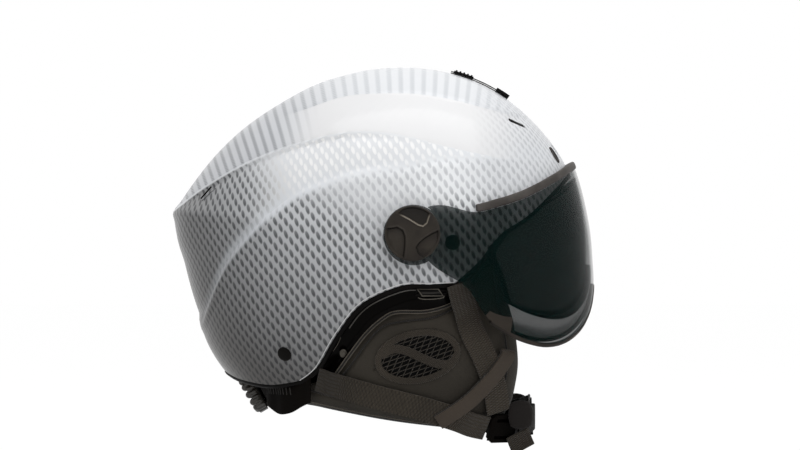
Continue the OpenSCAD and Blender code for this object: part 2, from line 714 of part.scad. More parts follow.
module pivot_stud(left) {
    color([0.3, 0.3, 0.3])
        paired(left)
            side_on() {
                translate([0, 0, half_width - shell_wall - 0.1])
                    cylinder(h = shell_wall + 0.1 + layer_gap, r = stud_radius);
                translate([0, 0, half_width + layer_gap])
                    cylinder(h = base_wall, r = base_radius);
                translate([0, 0, half_width + layer_gap + base_wall])
                    cylinder(h = outer_lens_wall + 2 * slide_gap - 0.1, r = hub_radius);
                translate([0, 0, outer_lens_width])
                    cylinder(h = knob_foot - outer_lens_width + stud_length, r = stud_radius);
            }
}

module pivot_washer(left) {
    color([0.04, 0.04, 0.04])
        paired(left)
            side_on()
                translate([0, 0, outer_lens_width + slide_gap])
                    difference() {
                        cylinder(h = washer_wall, r = washer_radius);
                        translate([0, 0, -1])
                            cylinder(h = washer_wall + 2, r = stud_radius + running_gap);
                    }
}

module pivot_knob(left) {
    color([0.17, 0.16, 0.15])
        paired(left)
            side_on()
                translate([0, 0, knob_foot])
                    difference() {
                        union() {
                            cylinder(h = knob_height - knob_chamfer, r = knob_radius);
                            translate([0, 0, knob_height - knob_chamfer])
                                cylinder(h = knob_chamfer, r1 = knob_radius, r2 = knob_radius - knob_chamfer);
                        }
                        translate([0, 0, -1])
                            cylinder(h = stud_length + 1.4, r = stud_radius + running_gap);
                        for (turn = [90, 210, 330])
                            rotate([0, 0, turn])
                                translate([knob_radius - 7.5, 0, knob_height - knob_lobe_depth])
                                    cylinder(h = knob_lobe_depth + 1, r1 = 6.4, r2 = 8);
                    }
}

module strap_bolts() {
    color([0.04, 0.04, 0.04])
        for (left = [false, true], xz = bolt_plans)
            paired(left)
                on_shell(theta_of(xz), lat_of(shell_dome, xz)) {
                    translate([0, 0, 0.3])
                        cylinder(h = 0.6, r = bolt_head_radius, $fn = 32);
                    translate([0, 0, -shell_wall + 0.1])
                        cylinder(h = shell_wall + 0.4, r = bolt_radius, $fn = 32);
                }
}

front_strap_plan = [[30, -40.5], [34.5, -52], [38.8, -64.9], [45.5, -78.4], [52.3, -91.9], [57.6, -104],
    [60.9, -119.4]];
rear_strap_plan = [[-54.5, -100.3], [-45, -103], [-21.5, -109.5], [5.4, -116.4], [29, -124], [39.5, -128.2],
    [49, -130.5]];
tape_plan = [[62.5, -78.5], [60.8, -83], [53.4, -93.5], [45, -103], [35.7, -112], [24.5, -120], [14.1, -126.5]];

// Strap over an ear pad, from its line in side view, its width and the lift at each share of its line
module pad_strap(plan, width, lifts) {
    steps = 14;
    line = [for (k = [0 : steps]) along(plan, k / steps)];
    bar([for (k = [0 : steps]) on_pad(line[k], 0.6 + smooth_at(lifts, k / steps))],
        [for (xz = line) pad_normal(xz)], strip(-width / 2, width / 2, 0, webbing_wall));
}

module front_strap(left) {
    color([0.13, 0.12, 0.1])
        paired(left)
            pad_strap(front_strap_plan, webbing_width,
                [[0, 6.6], [0.1, 5.6], [0.25, 2.2], [0.4, 0.1], [0.5, 0], [1, 0]]);
}

module rear_strap(left) {
    color([0.13, 0.12, 0.1])
        paired(left)
            pad_strap(rear_strap_plan, webbing_width, [[0, -1.2], [0.15, 0.3], [0.3, 0], [1, 0]]);
}

module binding_tape(left) {
    color([0.1, 0.1, 0.1])
        paired(left)
            pad_strap(tape_plan, tape_width, [[0, 0.6], [0.15, 2.7], [1, 2.7]]);
}

module strap_divider(left) {
    half = divider_size / 2;
    corner = 3;
    slot = 2.4;
    slot_end = 4.5;
    color([0.05, 0.05, 0.05])
        paired(left)
            facing(divider_middle, divider_out)
                difference() {
                    linear_extrude(divider_wall)
                        polygon([[-half + corner, -half], [half - corner, -half], [half, -half + corner],
                            [half, half - corner], [half - corner, half], [-half + corner, half],
                            [-half, half - corner], [-half, -half + corner]]);
                    for (edge = [-half + 2.6, half - 2.6 - slot])
                        translate([edge, -half + slot_end, -1])
                            cube([slot, divider_size - 2 * slot_end, divider_wall + 2]);
                }
}

module strap_tail() {
    start = divider_middle + divider_size / 2 * divider_forward - webbing_wall * 8 / 7 * divider_up
        + (divider_wall + 0.5) * divider_out;
    down = unit(-divider_up + 0.12 * divider_forward);
    color([0.23, 0.2, 0.16])
        bar([for (k = [0 : 4]) start + 3.4 * k * down + 0.15 * k * k * divider_out], [for (k = [0 : 4]) divider_out],
            strip(-webbing_width / 2, webbing_width / 2, 0, webbing_wall));
}

module chin_strap() {
    start = divider_middle + (divider_size / 2 + 0.8) * divider_forward + 1.3 * divider_out;
    ys = [for (k = [1 : 12]) mix(start[1], buckle_start - 0.9, k / 12)];
    color([0.13, 0.12, 0.1])
        bar(concat([start], [for (y = ys) chin_line(y)]),
            concat([chin_out(start[1])], [for (y = ys) chin_out(y)]),
            strip(-webbing_width / 2, webbing_width / 2, 0, webbing_wall));
}

module chin_pad() {
    half = 22;
    function at(j, i, share) =
        let (
            a = j / 8 - 1,
            b = i / 4 - 1,
            e = rounded(a, b)
        )
        chin_line(half * e[0], -0.5 - share * (1.5 + (chin_pad_wall - 1.5) * bulge(a, b)),
            chin_pad_height / 2 * e[1]);
    color([0.1, 0.09, 0.08])
        slab(
            [for (i = [0 : 8]) [for (j = [0 : 16]) at(j, i, 0)]],
            [for (i = [0 : 8]) [for (j = [0 : 16]) at(j, i, 1)]]);
}

// Frame of the buckle: X from the chin to the left divider, Z upwards
module buckle_frame() {
    translate(chin_line(buckle_start, webbing_wall / 2))
        rotate([0, buckle_tilt, buckle_turn])
            children();
}

arm_head = [8.3, 16.7];
cavity_half = buckle_width / 2 - housing_wall;

module buckle_socket() {
    color([0.05, 0.05, 0.05])
        buckle_frame()
            difference() {
                translate([0, -buckle_wall / 2, -buckle_width / 2])
                    cube([buckle_length, buckle_wall, buckle_width]);
                translate([3, -buckle_wall / 2 + 1.4, -cavity_half])
                    cube([buckle_length, buckle_wall - 2.8, 2 * cavity_half]);
                translate([arm_head[0] - 1, -buckle_wall / 2 + 1.4, -buckle_width / 2 - 1])
                    cube([arm_head[1] - arm_head[0] + 2, buckle_wall - 2.8, buckle_width + 2]);
            }
}

module buckle_plug() {
    wall = buckle_wall - 3.4;
    color([0.05, 0.05, 0.05])
        buckle_frame() {
            translate([6, -wall / 2, -2.4])
                cube([buckle_length + 1, wall, 4.8]);
            difference() {
                translate([buckle_length + 0.3, -wall / 2 - 0.8, -cavity_half])
                    cube([6, wall + 1.6, 2 * cavity_half]);
                translate([buckle_length + 3.1, -wall, -cavity_half + 2])
                    cube([1.8, 2 * wall, 2 * cavity_half - 4]);
            }
        }
}

module buckle_arm(lower) {
    wall = buckle_wall - 3.4;
    top = buckle_width / 2 - 0.2;
    root = arm_hinge[1] - arm_root;
    color([0.08, 0.08, 0.08])
        buckle_frame()
            rotate([lower ? 180 : 0, 0, 0])
                translate([0, wall / 2, 0])
                    rotate([90, 0, 0]) {
                        linear_extrude(wall)
                            polygon([[arm_hinge[0], root], [arm_hinge[0], root + arm_width],
                                [arm_head[1], cavity_half - 0.4], [arm_head[1] - 0.4, top], [arm_head[0] + 2, top],
                                [arm_head[0], top - 1.6], [arm_head[0] - 0.3, root + 0.6], [arm_head[0] + 1, root]]);
                        translate([arm_hinge[0], arm_hinge[1], 0])
                            cylinder(h = wall, r = arm_root, $fn = 32);
                    }
}

module vent_frame() {
    inside = slider_width / 2 + 0.4;
    color([0.04, 0.04, 0.04]) {
        for (side = [[-inside - frame_rail, -inside], [inside, inside + frame_rail]])
            crown_arc([slider_radius - 0.2, slider_radius + 0.5], [frame_bar[0], slider_angles[1] + 1], side);
        crown_arc([slider_radius - 0.2, slider_radius + slider_wall + 0.5], frame_bar, [-inside - 0.1, inside + 0.1]);
    }
}

module vent_slider() {
    ribs = 5;
    rib_angle = 0.6;
    spacing = (slider_angle - 1 - rib_angle) / (ribs - 1);
    color([0.04, 0.04, 0.04]) {
        crown_arc([slider_radius, slider_radius + slider_wall], slider_angles, [-slider_width / 2, slider_width / 2]);
        for (k = [0 : ribs - 1])
            let (angle = slider_angles[0] + 0.5 + spacing * k)
            crown_arc([slider_radius + slider_wall - 0.2, slider_radius + slider_wall + 0.8],
                [angle, angle + rib_angle], [-slider_width / 2 + 2, slider_width / 2 - 2]);
    }
}

module vent_grilles() {
    color([0.05, 0.05, 0.05])
        vent_boxes(0.3, [0.9, 2]);
}

module adjuster_frame() {
    translate(dial_place)
        rotate([0, dial_tilt, 0])
            children();
}

// Point on the middle line inside the liner at the nape, as [x, z]
function in_liner(angle, depth) = let (r = smooth_at(liner_dome[1], angle) - depth) [r * cos(angle), r * sin(angle)];

module adjuster_housing() {
    hanger = layer_gap + 0.9;
    color([0.05, 0.05, 0.05]) {
        adjuster_frame() {
            translate([-housing_height, -housing_half, 0])
                cube([2 * housing_height, 2 * housing_half, housing_wall]);
            for (low = [-housing_height, band_height / 2 + 0.4])
                translate([low, -housing_half, 0])
                    cube([housing_height - band_height / 2 - 0.4, 2 * housing_half, cover_layer - 0.3]);
            cylinder(h = dial_layer, r = post_radius);
        }
        rotate([90, 0, 0])
            translate([0, 0, -9])
                linear_extrude(18)
                    polygon(concat(
                        [[dial_place[0] - 7.6, dial_place[2] + 10.7]],
                        [for (a = [nape_angle + 1 : -2.5 : nape_angle - 9]) in_liner(a, hanger)],
                        [for (a = [nape_angle - 9 : 2.5 : nape_angle + 1]) in_liner(a, hanger + 1.4)],
                        [[dial_place[0] - 5.4, dial_place[2] + 10.7], [dial_place[0] - 6.6, dial_place[2] + 9.1]]));
    }
}

module adjuster_cover() {
    color([0.05, 0.05, 0.05])
        adjuster_frame()
            translate([0, 0, cover_layer])
                difference() {
                    translate([-housing_height, -housing_half, 0])
                        cube([2 * housing_height, 2 * housing_half, housing_wall - 0.2]);
                    translate([0, 0, -1])
                        cylinder(h = housing_wall + 2, r = neck_radius + running_gap);
                }
}

// Half the angle that a pinion tooth takes up at a radius
function roll(r) =
    let (base = pitch_radius * cos(tooth_angle), a = acos(min(1, base / r)))
    tan(a) * 180 / PI - a;
function flank(r) = tooth_share * 180 / pinion_teeth + roll(pitch_radius) - roll(r);

module size_dial() {
    base = pitch_radius * cos(tooth_angle);
    radii = [pinion_root, base, mix(base, pitch_radius, 0.6), mix(pitch_radius, pinion_tip, 0.4), pinion_tip];
    color([0.25, 0.25, 0.25])
        adjuster_frame()
            difference() {
                union() {
                    translate([0, 0, right_layer + 0.1])
                        linear_extrude(cover_layer - right_layer)
                            polygon([for (k = [0 : pinion_teeth - 1]) each concat(
                                [for (r = radii) let (a = 360 * k / pinion_teeth - flank(r)) [r * cos(a), r * sin(a)]],
                                [for (i = [len(radii) - 1 : -1 : 0])
                                    let (r = radii[i], a = 360 * k / pinion_teeth + flank(r)) [r * cos(a), r * sin(a)]])]);
                    translate([0, 0, cover_layer - 0.2])
                        cylinder(h = dial_layer - cover_layer + 0.6, r = neck_radius);
                    translate([0, 0, dial_layer])
                        linear_extrude(dial_wall)
                            polygon([for (k = [0 : 95])
                                let (r = dial_radius - (k % 4 < 2 ? 0 : 0.9)) [r * cos(3.75 * k), r * sin(3.75 * k)]]);
                }
                cylinder(h = dial_layer + 0.6, r = post_radius + running_gap);
            }
}

// Rack band in the dial's frame, with teeth on the lower edge of its slot and its end to the right
module rack_band(layer, flipped) {
    half = band_height / 2;
    root = pitch_radius + 1.1;
    tip = pitch_radius - 0.6;
    tan_a = tan(tooth_angle);
    thick = tooth_share * tooth_pitch / 2;
    phase = flipped ? 0.5 : (pinion_teeth % 2 == 0 ? 0.5 : 0);
    count = floor((rack_slot - thick - 1.1 * tan_a) / tooth_pitch - phase);
    low = flipped ? -2 : -8;
    high = flipped ? 8 : 2;
    reach = 17;
    fall = reach * tan(50);
    rotate([0, 0, flipped ? 180 : 0])
        intersection() {
            translate([0, 0, -30])
                linear_extrude(60)
                    difference() {
                        polygon([[-half, rack_end], [half, rack_end], [half, -rack_bend], [high, -rack_bend - 8],
                            [high, -rack_bend - reach], [low, -rack_bend - reach], [low, -rack_bend - 8],
                            [-half, -rack_bend]]);
                        difference() {
                            translate([-root, -rack_slot])
                                square([root + pitch_radius + 1.7, 2 * rack_slot]);
                            for (k = [-count - 1 : count + (phase == 0 ? 1 : 0)])
                                translate([0, (k + phase) * tooth_pitch])
                                    polygon([[-root - 1, thick + 1.1 * tan_a], [-root - 1, -thick - 1.1 * tan_a],
                                        [-root, -thick - 1.1 * tan_a], [-tip, -thick + 0.6 * tan_a],
                                        [-tip, thick - 0.6 * tan_a], [-root, thick + 1.1 * tan_a]]);
                        }
                    }
            rotate([90, 0, 90])
                translate([0, 0, -20])
                    linear_extrude(40)
                        polygon([[rack_end + 1, layer], [-rack_bend, layer], [-rack_bend - reach, layer - fall],
                            [-rack_bend - reach, layer - fall + 1.55 * band_wall],
                            [-rack_bend - 0.46 * band_wall, layer + band_wall], [rack_end + 1, layer + band_wall]]);
        }
}

module rack_band_right() {
    color([0.05, 0.05, 0.05])
        adjuster_frame()
            rack_band(right_layer, false);
}

module rack_band_left() {
    color([0.05, 0.05, 0.05])
        adjuster_frame()
            rack_band(left_layer, true);
}

module nape_pad() {
    function at(j, i, share) =
        let (
            a = j / 7 - 1,
            b = i / 5 - 1,
            e = rounded(a, b)
        )
        [-7.5 + 15.5 * e[1], 20 * e[0], -layer_gap - share * (1.5 + 8.5 * bulge(a, b))];
    color([0.1, 0.1, 0.11])
        adjuster_frame()
            slab(
                [for (i = [0 : 10]) [for (j = [0 : 14]) at(14 - j, i, 0)]],
                [for (i = [0 : 10]) [for (j = [0 : 14]) at(14 - j, i, 1)]]);
}

outer_shell();
shell_edge_trim();
lower_shell(false);  // lower_shell_right
lower_shell(true);  // lower_shell_left
eps_liner();
brow_pad();
crown_pad();
rear_pad();
temple_pad(false);  // temple_pad_right
temple_pad(true);  // temple_pad_left
ear_pad(false);  // ear_pad_right
ear_pad(true);  // ear_pad_left
ear_mesh(false);  // ear_mesh_right
ear_mesh(true);  // ear_mesh_left
ear_pad_snap(false);  // ear_pad_snap_right
ear_pad_snap(true);  // ear_pad_snap_left
pad_clip(false);  // pad_clip_right
pad_clip(true);  // pad_clip_left
outer_lens();
inner_lens();
lens_gasket();
brow_seal();
lens_edge_trim();
pivot_stud(false);  // pivot_stud_right
pivot_stud(true);  // pivot_stud_left
pivot_washer(false);  // pivot_washer_right
pivot_washer(true);  // pivot_washer_left
pivot_knob(false);  // pivot_knob_right
pivot_knob(true);  // pivot_knob_left
strap_bolts();
front_strap(false);  // front_strap_right
front_strap(true);  // front_strap_left
rear_strap(false);  // rear_strap_right
rear_strap(true);  // rear_strap_left
binding_tape(false);  // binding_tape_right
binding_tape(true);  // binding_tape_left
strap_divider(false);  // strap_divider_right
strap_divider(true);  // strap_divider_left
strap_tail();
chin_strap();
chin_pad();
buckle_socket();
buckle_plug();
buckle_arm(false);  // buckle_arm_upper
buckle_arm(true);  // buckle_arm_lower
vent_frame();
vent_slider();
vent_grilles();
adjuster_housing();
adjuster_cover();
size_dial();
rack_band_right();
rack_band_left();
nape_pad();
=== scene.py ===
# Looks of the open-face flying helmet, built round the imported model. Lengths are millimetres in the
# shapes' functions and metres in Blender. Right is the wearer's right, on the -Y side.
import math
from contextlib import contextmanager

import bpy
from mathutils import Matrix, Vector


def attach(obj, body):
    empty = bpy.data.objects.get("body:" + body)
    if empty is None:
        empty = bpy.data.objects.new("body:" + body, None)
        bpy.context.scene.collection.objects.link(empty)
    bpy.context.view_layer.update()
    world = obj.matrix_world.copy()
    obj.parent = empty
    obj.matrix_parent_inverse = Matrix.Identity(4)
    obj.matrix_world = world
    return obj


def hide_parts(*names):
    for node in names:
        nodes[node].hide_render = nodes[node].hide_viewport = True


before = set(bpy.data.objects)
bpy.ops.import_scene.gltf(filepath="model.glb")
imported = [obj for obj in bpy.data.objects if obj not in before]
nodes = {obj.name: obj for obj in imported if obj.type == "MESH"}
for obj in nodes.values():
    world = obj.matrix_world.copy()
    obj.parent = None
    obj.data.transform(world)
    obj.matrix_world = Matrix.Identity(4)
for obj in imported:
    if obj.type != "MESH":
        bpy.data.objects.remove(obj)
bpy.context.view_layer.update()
MM = 0.001

# Sizes of the part, as in its source
HALF_WIDTH, SHELL_WALL, LAYER_GAP = 110, 2.2, 0.4
LINER_WALL, COMFORT_WALL, EAR_WALL, EAR_CROWN = 20, 6, 15, 3
LENS_WALL, INNER_WALL, SLIDE_GAP = 1.8, 1, 0.3
TAB_RADIUS, HUB_RADIUS = 20.5, 6.1
KNOB_RADIUS, KNOB_HEIGHT = 18.5, 9
WEB_WIDTH, WEB_WALL, TAPE_WIDTH = 17, 1.4, 10.6
TRIM_WIDTH, TRIM_PROUD, EDGE_GAP = 3, 0.6, 0.2
SEAL_WIDTH, EDGE_WIDTH = 5.5, 2.4
LOWER_WALL, LOWER_WIDTH = 1.6, 13
LINER_DEPTH = SHELL_WALL + LAYER_GAP
LOWER_DEPTH = SHELL_WALL + 2 * LAYER_GAP
BAND_DEPTH = LOWER_DEPTH + LOWER_WALL + LAYER_GAP
LENS_INSIDE = HALF_WIDTH + LAYER_GAP + 1 + SLIDE_GAP
LENS_HALF = LENS_INSIDE + LENS_WALL
KNOB_FOOT = LENS_HALF + 0.8 + 2 * SLIDE_GAP
DOME_POWER = 2.3
PAD_RIM = 1.2

SHELL_RADII = [
    (-121, 140), (-100, 120), (-80, 115), (-40, 114.5), (0, 114.5), (22, 115.4), (40, 113.3), (58, 112.9),
    (90, 113.8), (110, 117.2), (121, 121), (136, 127.5), (151, 138.8), (164, 151), (171.7, 160),
    (175, 165.2), (177.2, 163.8), (182.2, 161.3), (188, 158.2), (200, 157.8), (209, 160), (216, 160),
    (229, 158), (239, 140)]
LINER_RADII = [
    (-121, 132), (-80, 112), (22, 112), (58, 110.5), (90, 111.4), (121, 118), (151, 134), (175, 145),
    (200, 148), (216, 149), (239, 136)]
OUTER_LENS_RADII = [
    (-62, 143), (-50, 143), (-40, 141.4), (-30, 138), (-23, 134.2), (-15, 129.5), (-8, 125.5),
    (0, 122.8), (8, 121), (16, 120.5), (24, 120.7), (54, 121)]
INNER_LENS_RADII = [
    (-60, 137.5), (-50, 137.5), (-40, 135.9), (-30, 132.5), (-23, 128.7), (-15, 124), (-10, 121.2),
    (0, 118.9), (8, 118), (16, 117.8), (54, 117.8)]
SHELL = (HALF_WIDTH, SHELL_RADII)
LINER = (HALF_WIDTH - LINER_DEPTH - LINER_WALL, [(a, r - LINER_WALL) for a, r in LINER_RADII])
OUTER_LENS = (LENS_HALF, OUTER_LENS_RADII)
INNER_LENS = (LENS_HALF - LENS_WALL - SLIDE_GAP, INNER_LENS_RADII)

FACE_ANGLE, NAPE_ANGLE = 21, 216
FACE_RIM = [(107.7, 41.3), (80, 14), (58, -2), (44, -19), (28.6, -33)]
EAR_RIM = [(28.6, -33), (12, -34), (-8, -35), (-34, -47), (-51, -68), (-64, -90), (-76, -99.5)]
NAPE_RIM = [(-129, -94.5), (-117, -99.5), (-96, -102.5), (-76, -99.5)]
CHANNEL_TOP = [(-165, 14), (-141, 31), (-110, 48), (-75, 60.5), (-38, 67.5), (-1, 64), (19, 59), (60, 50)]
CHANNEL_BOTTOM = [
    (-143, -60), (-127, -25), (-111, -4.5), (-98, 8), (-78, 23), (-60, 31), (-40, 38), (-5, 43.5),
    (15, 48.5), (60, 50)]
CROWN_EDGE = [
    (-110, 72), (-76, 82.4), (-47, 92), (-27, 93.9), (-1, 93.9), (24, 90.5), (54, 83.1), (74, 78.4)]
LENS_TOP = [
    (60, 7.3), (30, 13.3), (18.4, 18.7), (16.9, 27), (17, 36), (18, 44.5), (19.1, 53), (20.1, 62.5),
    (21, 74), (21.3, 90)]
LENS_BOTTOM = [
    (-62, 5.5), (-50, 12), (-45, 18), (-48.3, 27.7), (-46, 37.5), (-43, 46), (-39, 56), (-33, 67),
    (-24, 79.5), (-16, 90)]
LENS_LOW, LENS_HIGH = (edge + [(a, 180 - b) for a, b in edge[-2::-1]] for edge in (LENS_BOTTOM, LENS_TOP))
GASKET_SIDE = [
    (0.1, 0.17), (0.12, 0.165), (0.35, 0.145), (0.5, 0.132), (0.65, 0.145), (0.8, 0.175), (0.93, 0.28)]
GASKET_UPWARDS, GASKET_BAND = (0.142, 0.93), (0.035, 0.042)


# ---- the part's curves and surfaces ----
def mix(a, b, t):
    return a + (b - a) * t


def held(x):
    return min(max(x, 0), 1)


def soft(x):
    f = held(x)
    return f * f * (3 - 2 * f)


def smooth_at(table, x):
    last = len(table) - 1
    i = 0
    while i < last - 1 and x >= table[i + 1][0]:
        i += 1
    a, b, before, after = table[i], table[i + 1], table[max(i - 1, 0)], table[min(i + 2, last)]
    span = b[0] - a[0]
    f = held((x - a[0]) / span)
    rise_a = (b[1] - before[1]) / (b[0] - before[0]) * span
    rise_b = (after[1] - a[1]) / (after[0] - a[0]) * span
    return ((1 + 2 * f) * (1 - f) ** 2 * a[1] + f * (1 - f) ** 2 * rise_a
            + f * f * (3 - 2 * f) * b[1] + f * f * (f - 1) * rise_b)


def along(points, t):
    last = len(points) - 1
    s = held(t) * last
    i = min(int(s), last - 1)
    f = s - i
    return tuple(
        0.5 * (2 * q + (r - p) * f + (2 * p - 5 * q + 4 * r - w) * f * f + (3 * q - p - 3 * r + w) * f ** 3)
        for p, q, r, w in zip(points[max(i - 1, 0)], points[i], points[i + 1], points[min(i + 2, last)]))


def dome(surface, theta, lat, depth=0.0):
    sine, cosine = math.sin(math.radians(lat)), math.cos(math.radians(lat))
    r = (smooth_at(surface[1], theta) - depth) * max(sine, 0) ** (2 / DOME_POWER)
    y = -(surface[0] - depth) * math.copysign(abs(cosine) ** (2 / DOME_POWER), cosine)
    turn = math.radians(theta)
    return Vector((r * math.cos(turn), y, r * math.sin(turn)))


def theta_of(xz):
    a = math.degrees(math.atan2(xz[1], xz[0]))
    return a + 360 if a < -121 else a


def lat_of(surface, xz):
    share = min(1, math.hypot(*xz) / smooth_at(surface[1], theta_of(xz)))
    return math.degrees(math.asin(share ** (DOME_POWER / 2)))


def over(surface, xz, depth=0.0):
    return dome(surface, theta_of(xz), lat_of(surface, xz), depth)


def normal_at(surface, theta, lat):
    step = 0.5
    d_theta = dome(surface, theta + step, lat) - dome(surface, theta - step, lat)
    d_lat = dome(surface, theta, lat + step) - dome(surface, theta, lat - step)
    return d_lat.cross(d_theta).normalized()


def crown_point(u):
    a = mix(FACE_ANGLE, NAPE_ANGLE, u)
    r = smooth_at(SHELL_RADII, a)
    return r * math.cos(math.radians(a)), r * math.sin(math.radians(a))


CROWN_START, CROWN_END = crown_point(0), crown_point(1)


def shell_plan(u, t):
    top, ear, face, nape = crown_point(u), along(EAR_RIM, u), along(FACE_RIM, t), along(NAPE_RIM, t)
    return tuple(
        mix(top[k], ear[k], t) + mix(face[k], nape[k], u)
        - mix(mix(CROWN_START[k], CROWN_END[k], u), mix(EAR_RIM[0][k], EAR_RIM[-1][k], u), t)
        for k in (0, 1))


def channel(xz):
    """How deep the side channel is at a point in side view: a sharp upper lip and a rounded lower step."""
    x, z = xz
    depth = 2 * soft((25 - x) / 110) * soft((x + 166) / 30)
    lip = soft((smooth_at(CHANNEL_TOP, x) - z) / 2)
    below = z - smooth_at(CHANNEL_BOTTOM, x)
    crest = 0.55 * soft((70 - x) / 60) * math.exp(-((below + 4.5) / 3.2) ** 2)
    return depth * lip * soft(below / 5) - crest


def crown_step(xz):
    """The panel under the crown strip lies a little lower than the strip."""
    x, z = xz
    ends = soft((x + 95) / 30) * soft((84 - x) / 14)
    under = smooth_at(CROWN_EDGE, x) - z
    return ends * soft((under + 2) / 2) * (1 - soft(under / 20))


def shell_point(surface, u, v, depth=0.0, detail=False):
    xz = shell_plan(u, abs(v) ** DOME_POWER)
    theta, lat = theta_of(xz), lat_of(SHELL, xz)
    if detail:
        depth += channel(xz) + crown_step(xz)
    elif surface is SHELL:
        depth += max(channel(xz), 0)
    return dome(surface, theta, lat if v < 0 else 180 - lat, depth)


def rim_out(u):
    a, b = along(EAR_RIM, max(u - 0.02, 0)), along(EAR_RIM, min(u + 0.02, 1))
    d = math.hypot(b[0] - a[0], b[1] - a[1])
    return -(b[1] - a[1]) / d, (b[0] - a[0]) / d


def band_width(u):
    return mix(4, LOWER_WIDTH, max(math.sin(math.pi * u), 0) ** 0.6)


def below_rim(u, distance):
    p, out = along(EAR_RIM, u), rim_out(u)
    return p[0] + out[0] * distance, p[1] + out[1] * distance


def rounded(a, b):
    return a * math.sqrt(1 - 0.35 * b * b), b * math.sqrt(1 - 0.35 * a * a)


def lens_point(surface, u, w, depth=0.0):
    low, high = along(LENS_LOW, u), along(LENS_HIGH, u)
    return dome(surface, mix(low[0], high[0], w), mix(low[1], high[1], w), depth)


def window(surface, a, b, depth):
    """A point of the inner lens's outline, which follows the shell's face edge; a and b go from -1 to 1."""
    e = a * math.sqrt(1 - 0.16 * b * b), b * math.sqrt(1 - 0.16 * a * a)
    w = mix(*GASKET_UPWARDS, (e[1] + 1) / 2)
    side = smooth_at(GASKET_SIDE, w)
    return lens_point(surface, mix(side, 1 - side, (e[0] + 1) / 2), w, depth)


def ear_face(x, z):
    return HALF_WIDTH - 12 - 0.0041 * (x + 5) ** 2 - 0.0025 * (z + 40) ** 2


def pad_face(x, z):
    return ear_face(x, z) + EAR_CROWN * max(0, 1 - ((x - 4) / 62) ** 2 - ((z + 88) / 40) ** 2)


def pad_normal(x, z):
    return Vector((0.0082 * (x + 5), -1, 0.005 * (z + 40))).normalized()


def on_pad(xz, lift=0.0):
    x, z = xz
    return Vector((x, -pad_face(x, z), z)) + lift * pad_normal(x, z)


def chin_out(y):
    return Vector((1, 0.00808 * y, 0)).normalized()


def chin_line(y, out=0.0, up=0.0):
    return Vector((82 - 0.00404 * y * y, y, -126.2 - 0.00167 * y * y + up)) + out * chin_out(y)


def facing(point, direction):
    """The turn and place that the part's source gives to what faces along a direction."""
    tilt = Matrix.Rotation(math.acos(direction.z), 4, "Y")
    turn = Matrix.Rotation(math.atan2(direction.y, direction.x), 4, "Z")
    return Matrix.Translation(point) @ turn @ tilt


def on_shell(theta, lat):
    return facing(dome(SHELL, theta, lat), normal_at(SHELL, theta, lat))


def mirrored(p, left):
    return Vector((p.x, -p.y, p.z)) if left else p


SIDES = (("right", False), ("left", True))


def both_sides(make):
    for side, left in SIDES:
        make(side, left)


# ---- modelling moves ----
def only(piece):
    bpy.ops.object.select_all(action="DESELECT")
    piece.select_set(True)
    bpy.context.view_layer.objects.active = piece


def named(name):
    piece = bpy.context.object
    piece.name = name
    piece.data.name = name
    return piece


def started(add, name, **settings):
    """A piece that starts as one of Blender's own forms, with its object at the origin."""
    bpy.ops.object.select_all(action="DESELECT")
    add(**settings)
    return named(name)


def placed(piece, place):
    """Puts each vertex of a form, whose object is at the origin, where place says, in millimetres."""
    for vertex in piece.data.vertices:
        vertex.co = place(vertex.co) * MM
    piece.data.update()
    return piece


def turned_over(piece):
    """Moves a mesh over to the wearer's other side, turned the right way out."""
    for vertex in piece.data.vertices:
        vertex.co.y = -vertex.co.y
    piece.data.flip_normals()
    return piece


def modified(piece, kind, **settings):
    only(piece)
    bpy.ops.object.modifier_add(type=kind)
    modifier = piece.modifiers[-1]
    for key, value in settings.items():
        setattr(modifier, key, value)
    bpy.ops.object.modifier_apply(modifier=modifier.name)
    return piece


def beveled(piece, width, segments=2, angle=50, **settings):
    return modified(piece, "BEVEL", width=width, segments=segments, limit_method="ANGLE",
                    angle_limit=math.radians(angle), **settings)


@contextmanager
def editing(piece):
    """Edit mode with the whole piece selected."""
    only(piece)
    bpy.ops.object.mode_set(mode="EDIT")
    bpy.ops.mesh.select_all(action="SELECT")
    yield
    bpy.ops.object.mode_set(mode="OBJECT")


def edit_some(piece, mode, test, move):
    """Makes a move in edit mode on only those edges or faces that pass a test."""
    with editing(piece):
        bpy.ops.mesh.select_mode(type=mode)
        bpy.ops.mesh.select_all(action="DESELECT")
    for part in piece.data.edges if mode == "EDGE" else piece.data.polygons:
        part.select = test(part)
    bpy.ops.object.mode_set(mode="EDIT")
    move()
    bpy.ops.object.mode_set(mode="OBJECT")


def outwards(piece):
    with editing(piece):
        bpy.ops.mesh.normals_make_consistent(inside=False)
    return piece


def smoothed(piece, angle=35):
    only(piece)
    bpy.ops.object.shade_smooth_by_angle(angle=math.radians(angle), keep_sharp_edges=False)
    return piece


def sheet(name, columns, rows, place, chart=None):
    """A grid whose corner at shares a and b, from 0 to 1, lies at place(a, b). Its UV map is laid out in
    metres, where chart turns the shares into millimetres."""
    piece = started(bpy.ops.mesh.primitive_grid_add, name,
                    x_subdivisions=columns, y_subdivisions=rows, size=2)
    placed(piece, lambda c: place(held((c.x + 1) / 2), held((c.y + 1) / 2)))
    if chart:
        for corner in piece.data.uv_layers.active.data:
            corner.uv = [length * MM for length in chart(*corner.uv)]
    return piece


def walled(name, columns, rows, place, wall, chart=None, bevel=0.0):
    """A sheet with a wall behind it, on the side away from its outer face."""
    piece = sheet(name, columns, rows, place, chart)
    modified(piece, "SOLIDIFY", thickness=wall * MM, offset=-1, use_even_offset=True)
    outwards(piece)
    if bevel:
        beveled(piece, bevel * MM)
    return smoothed(piece)


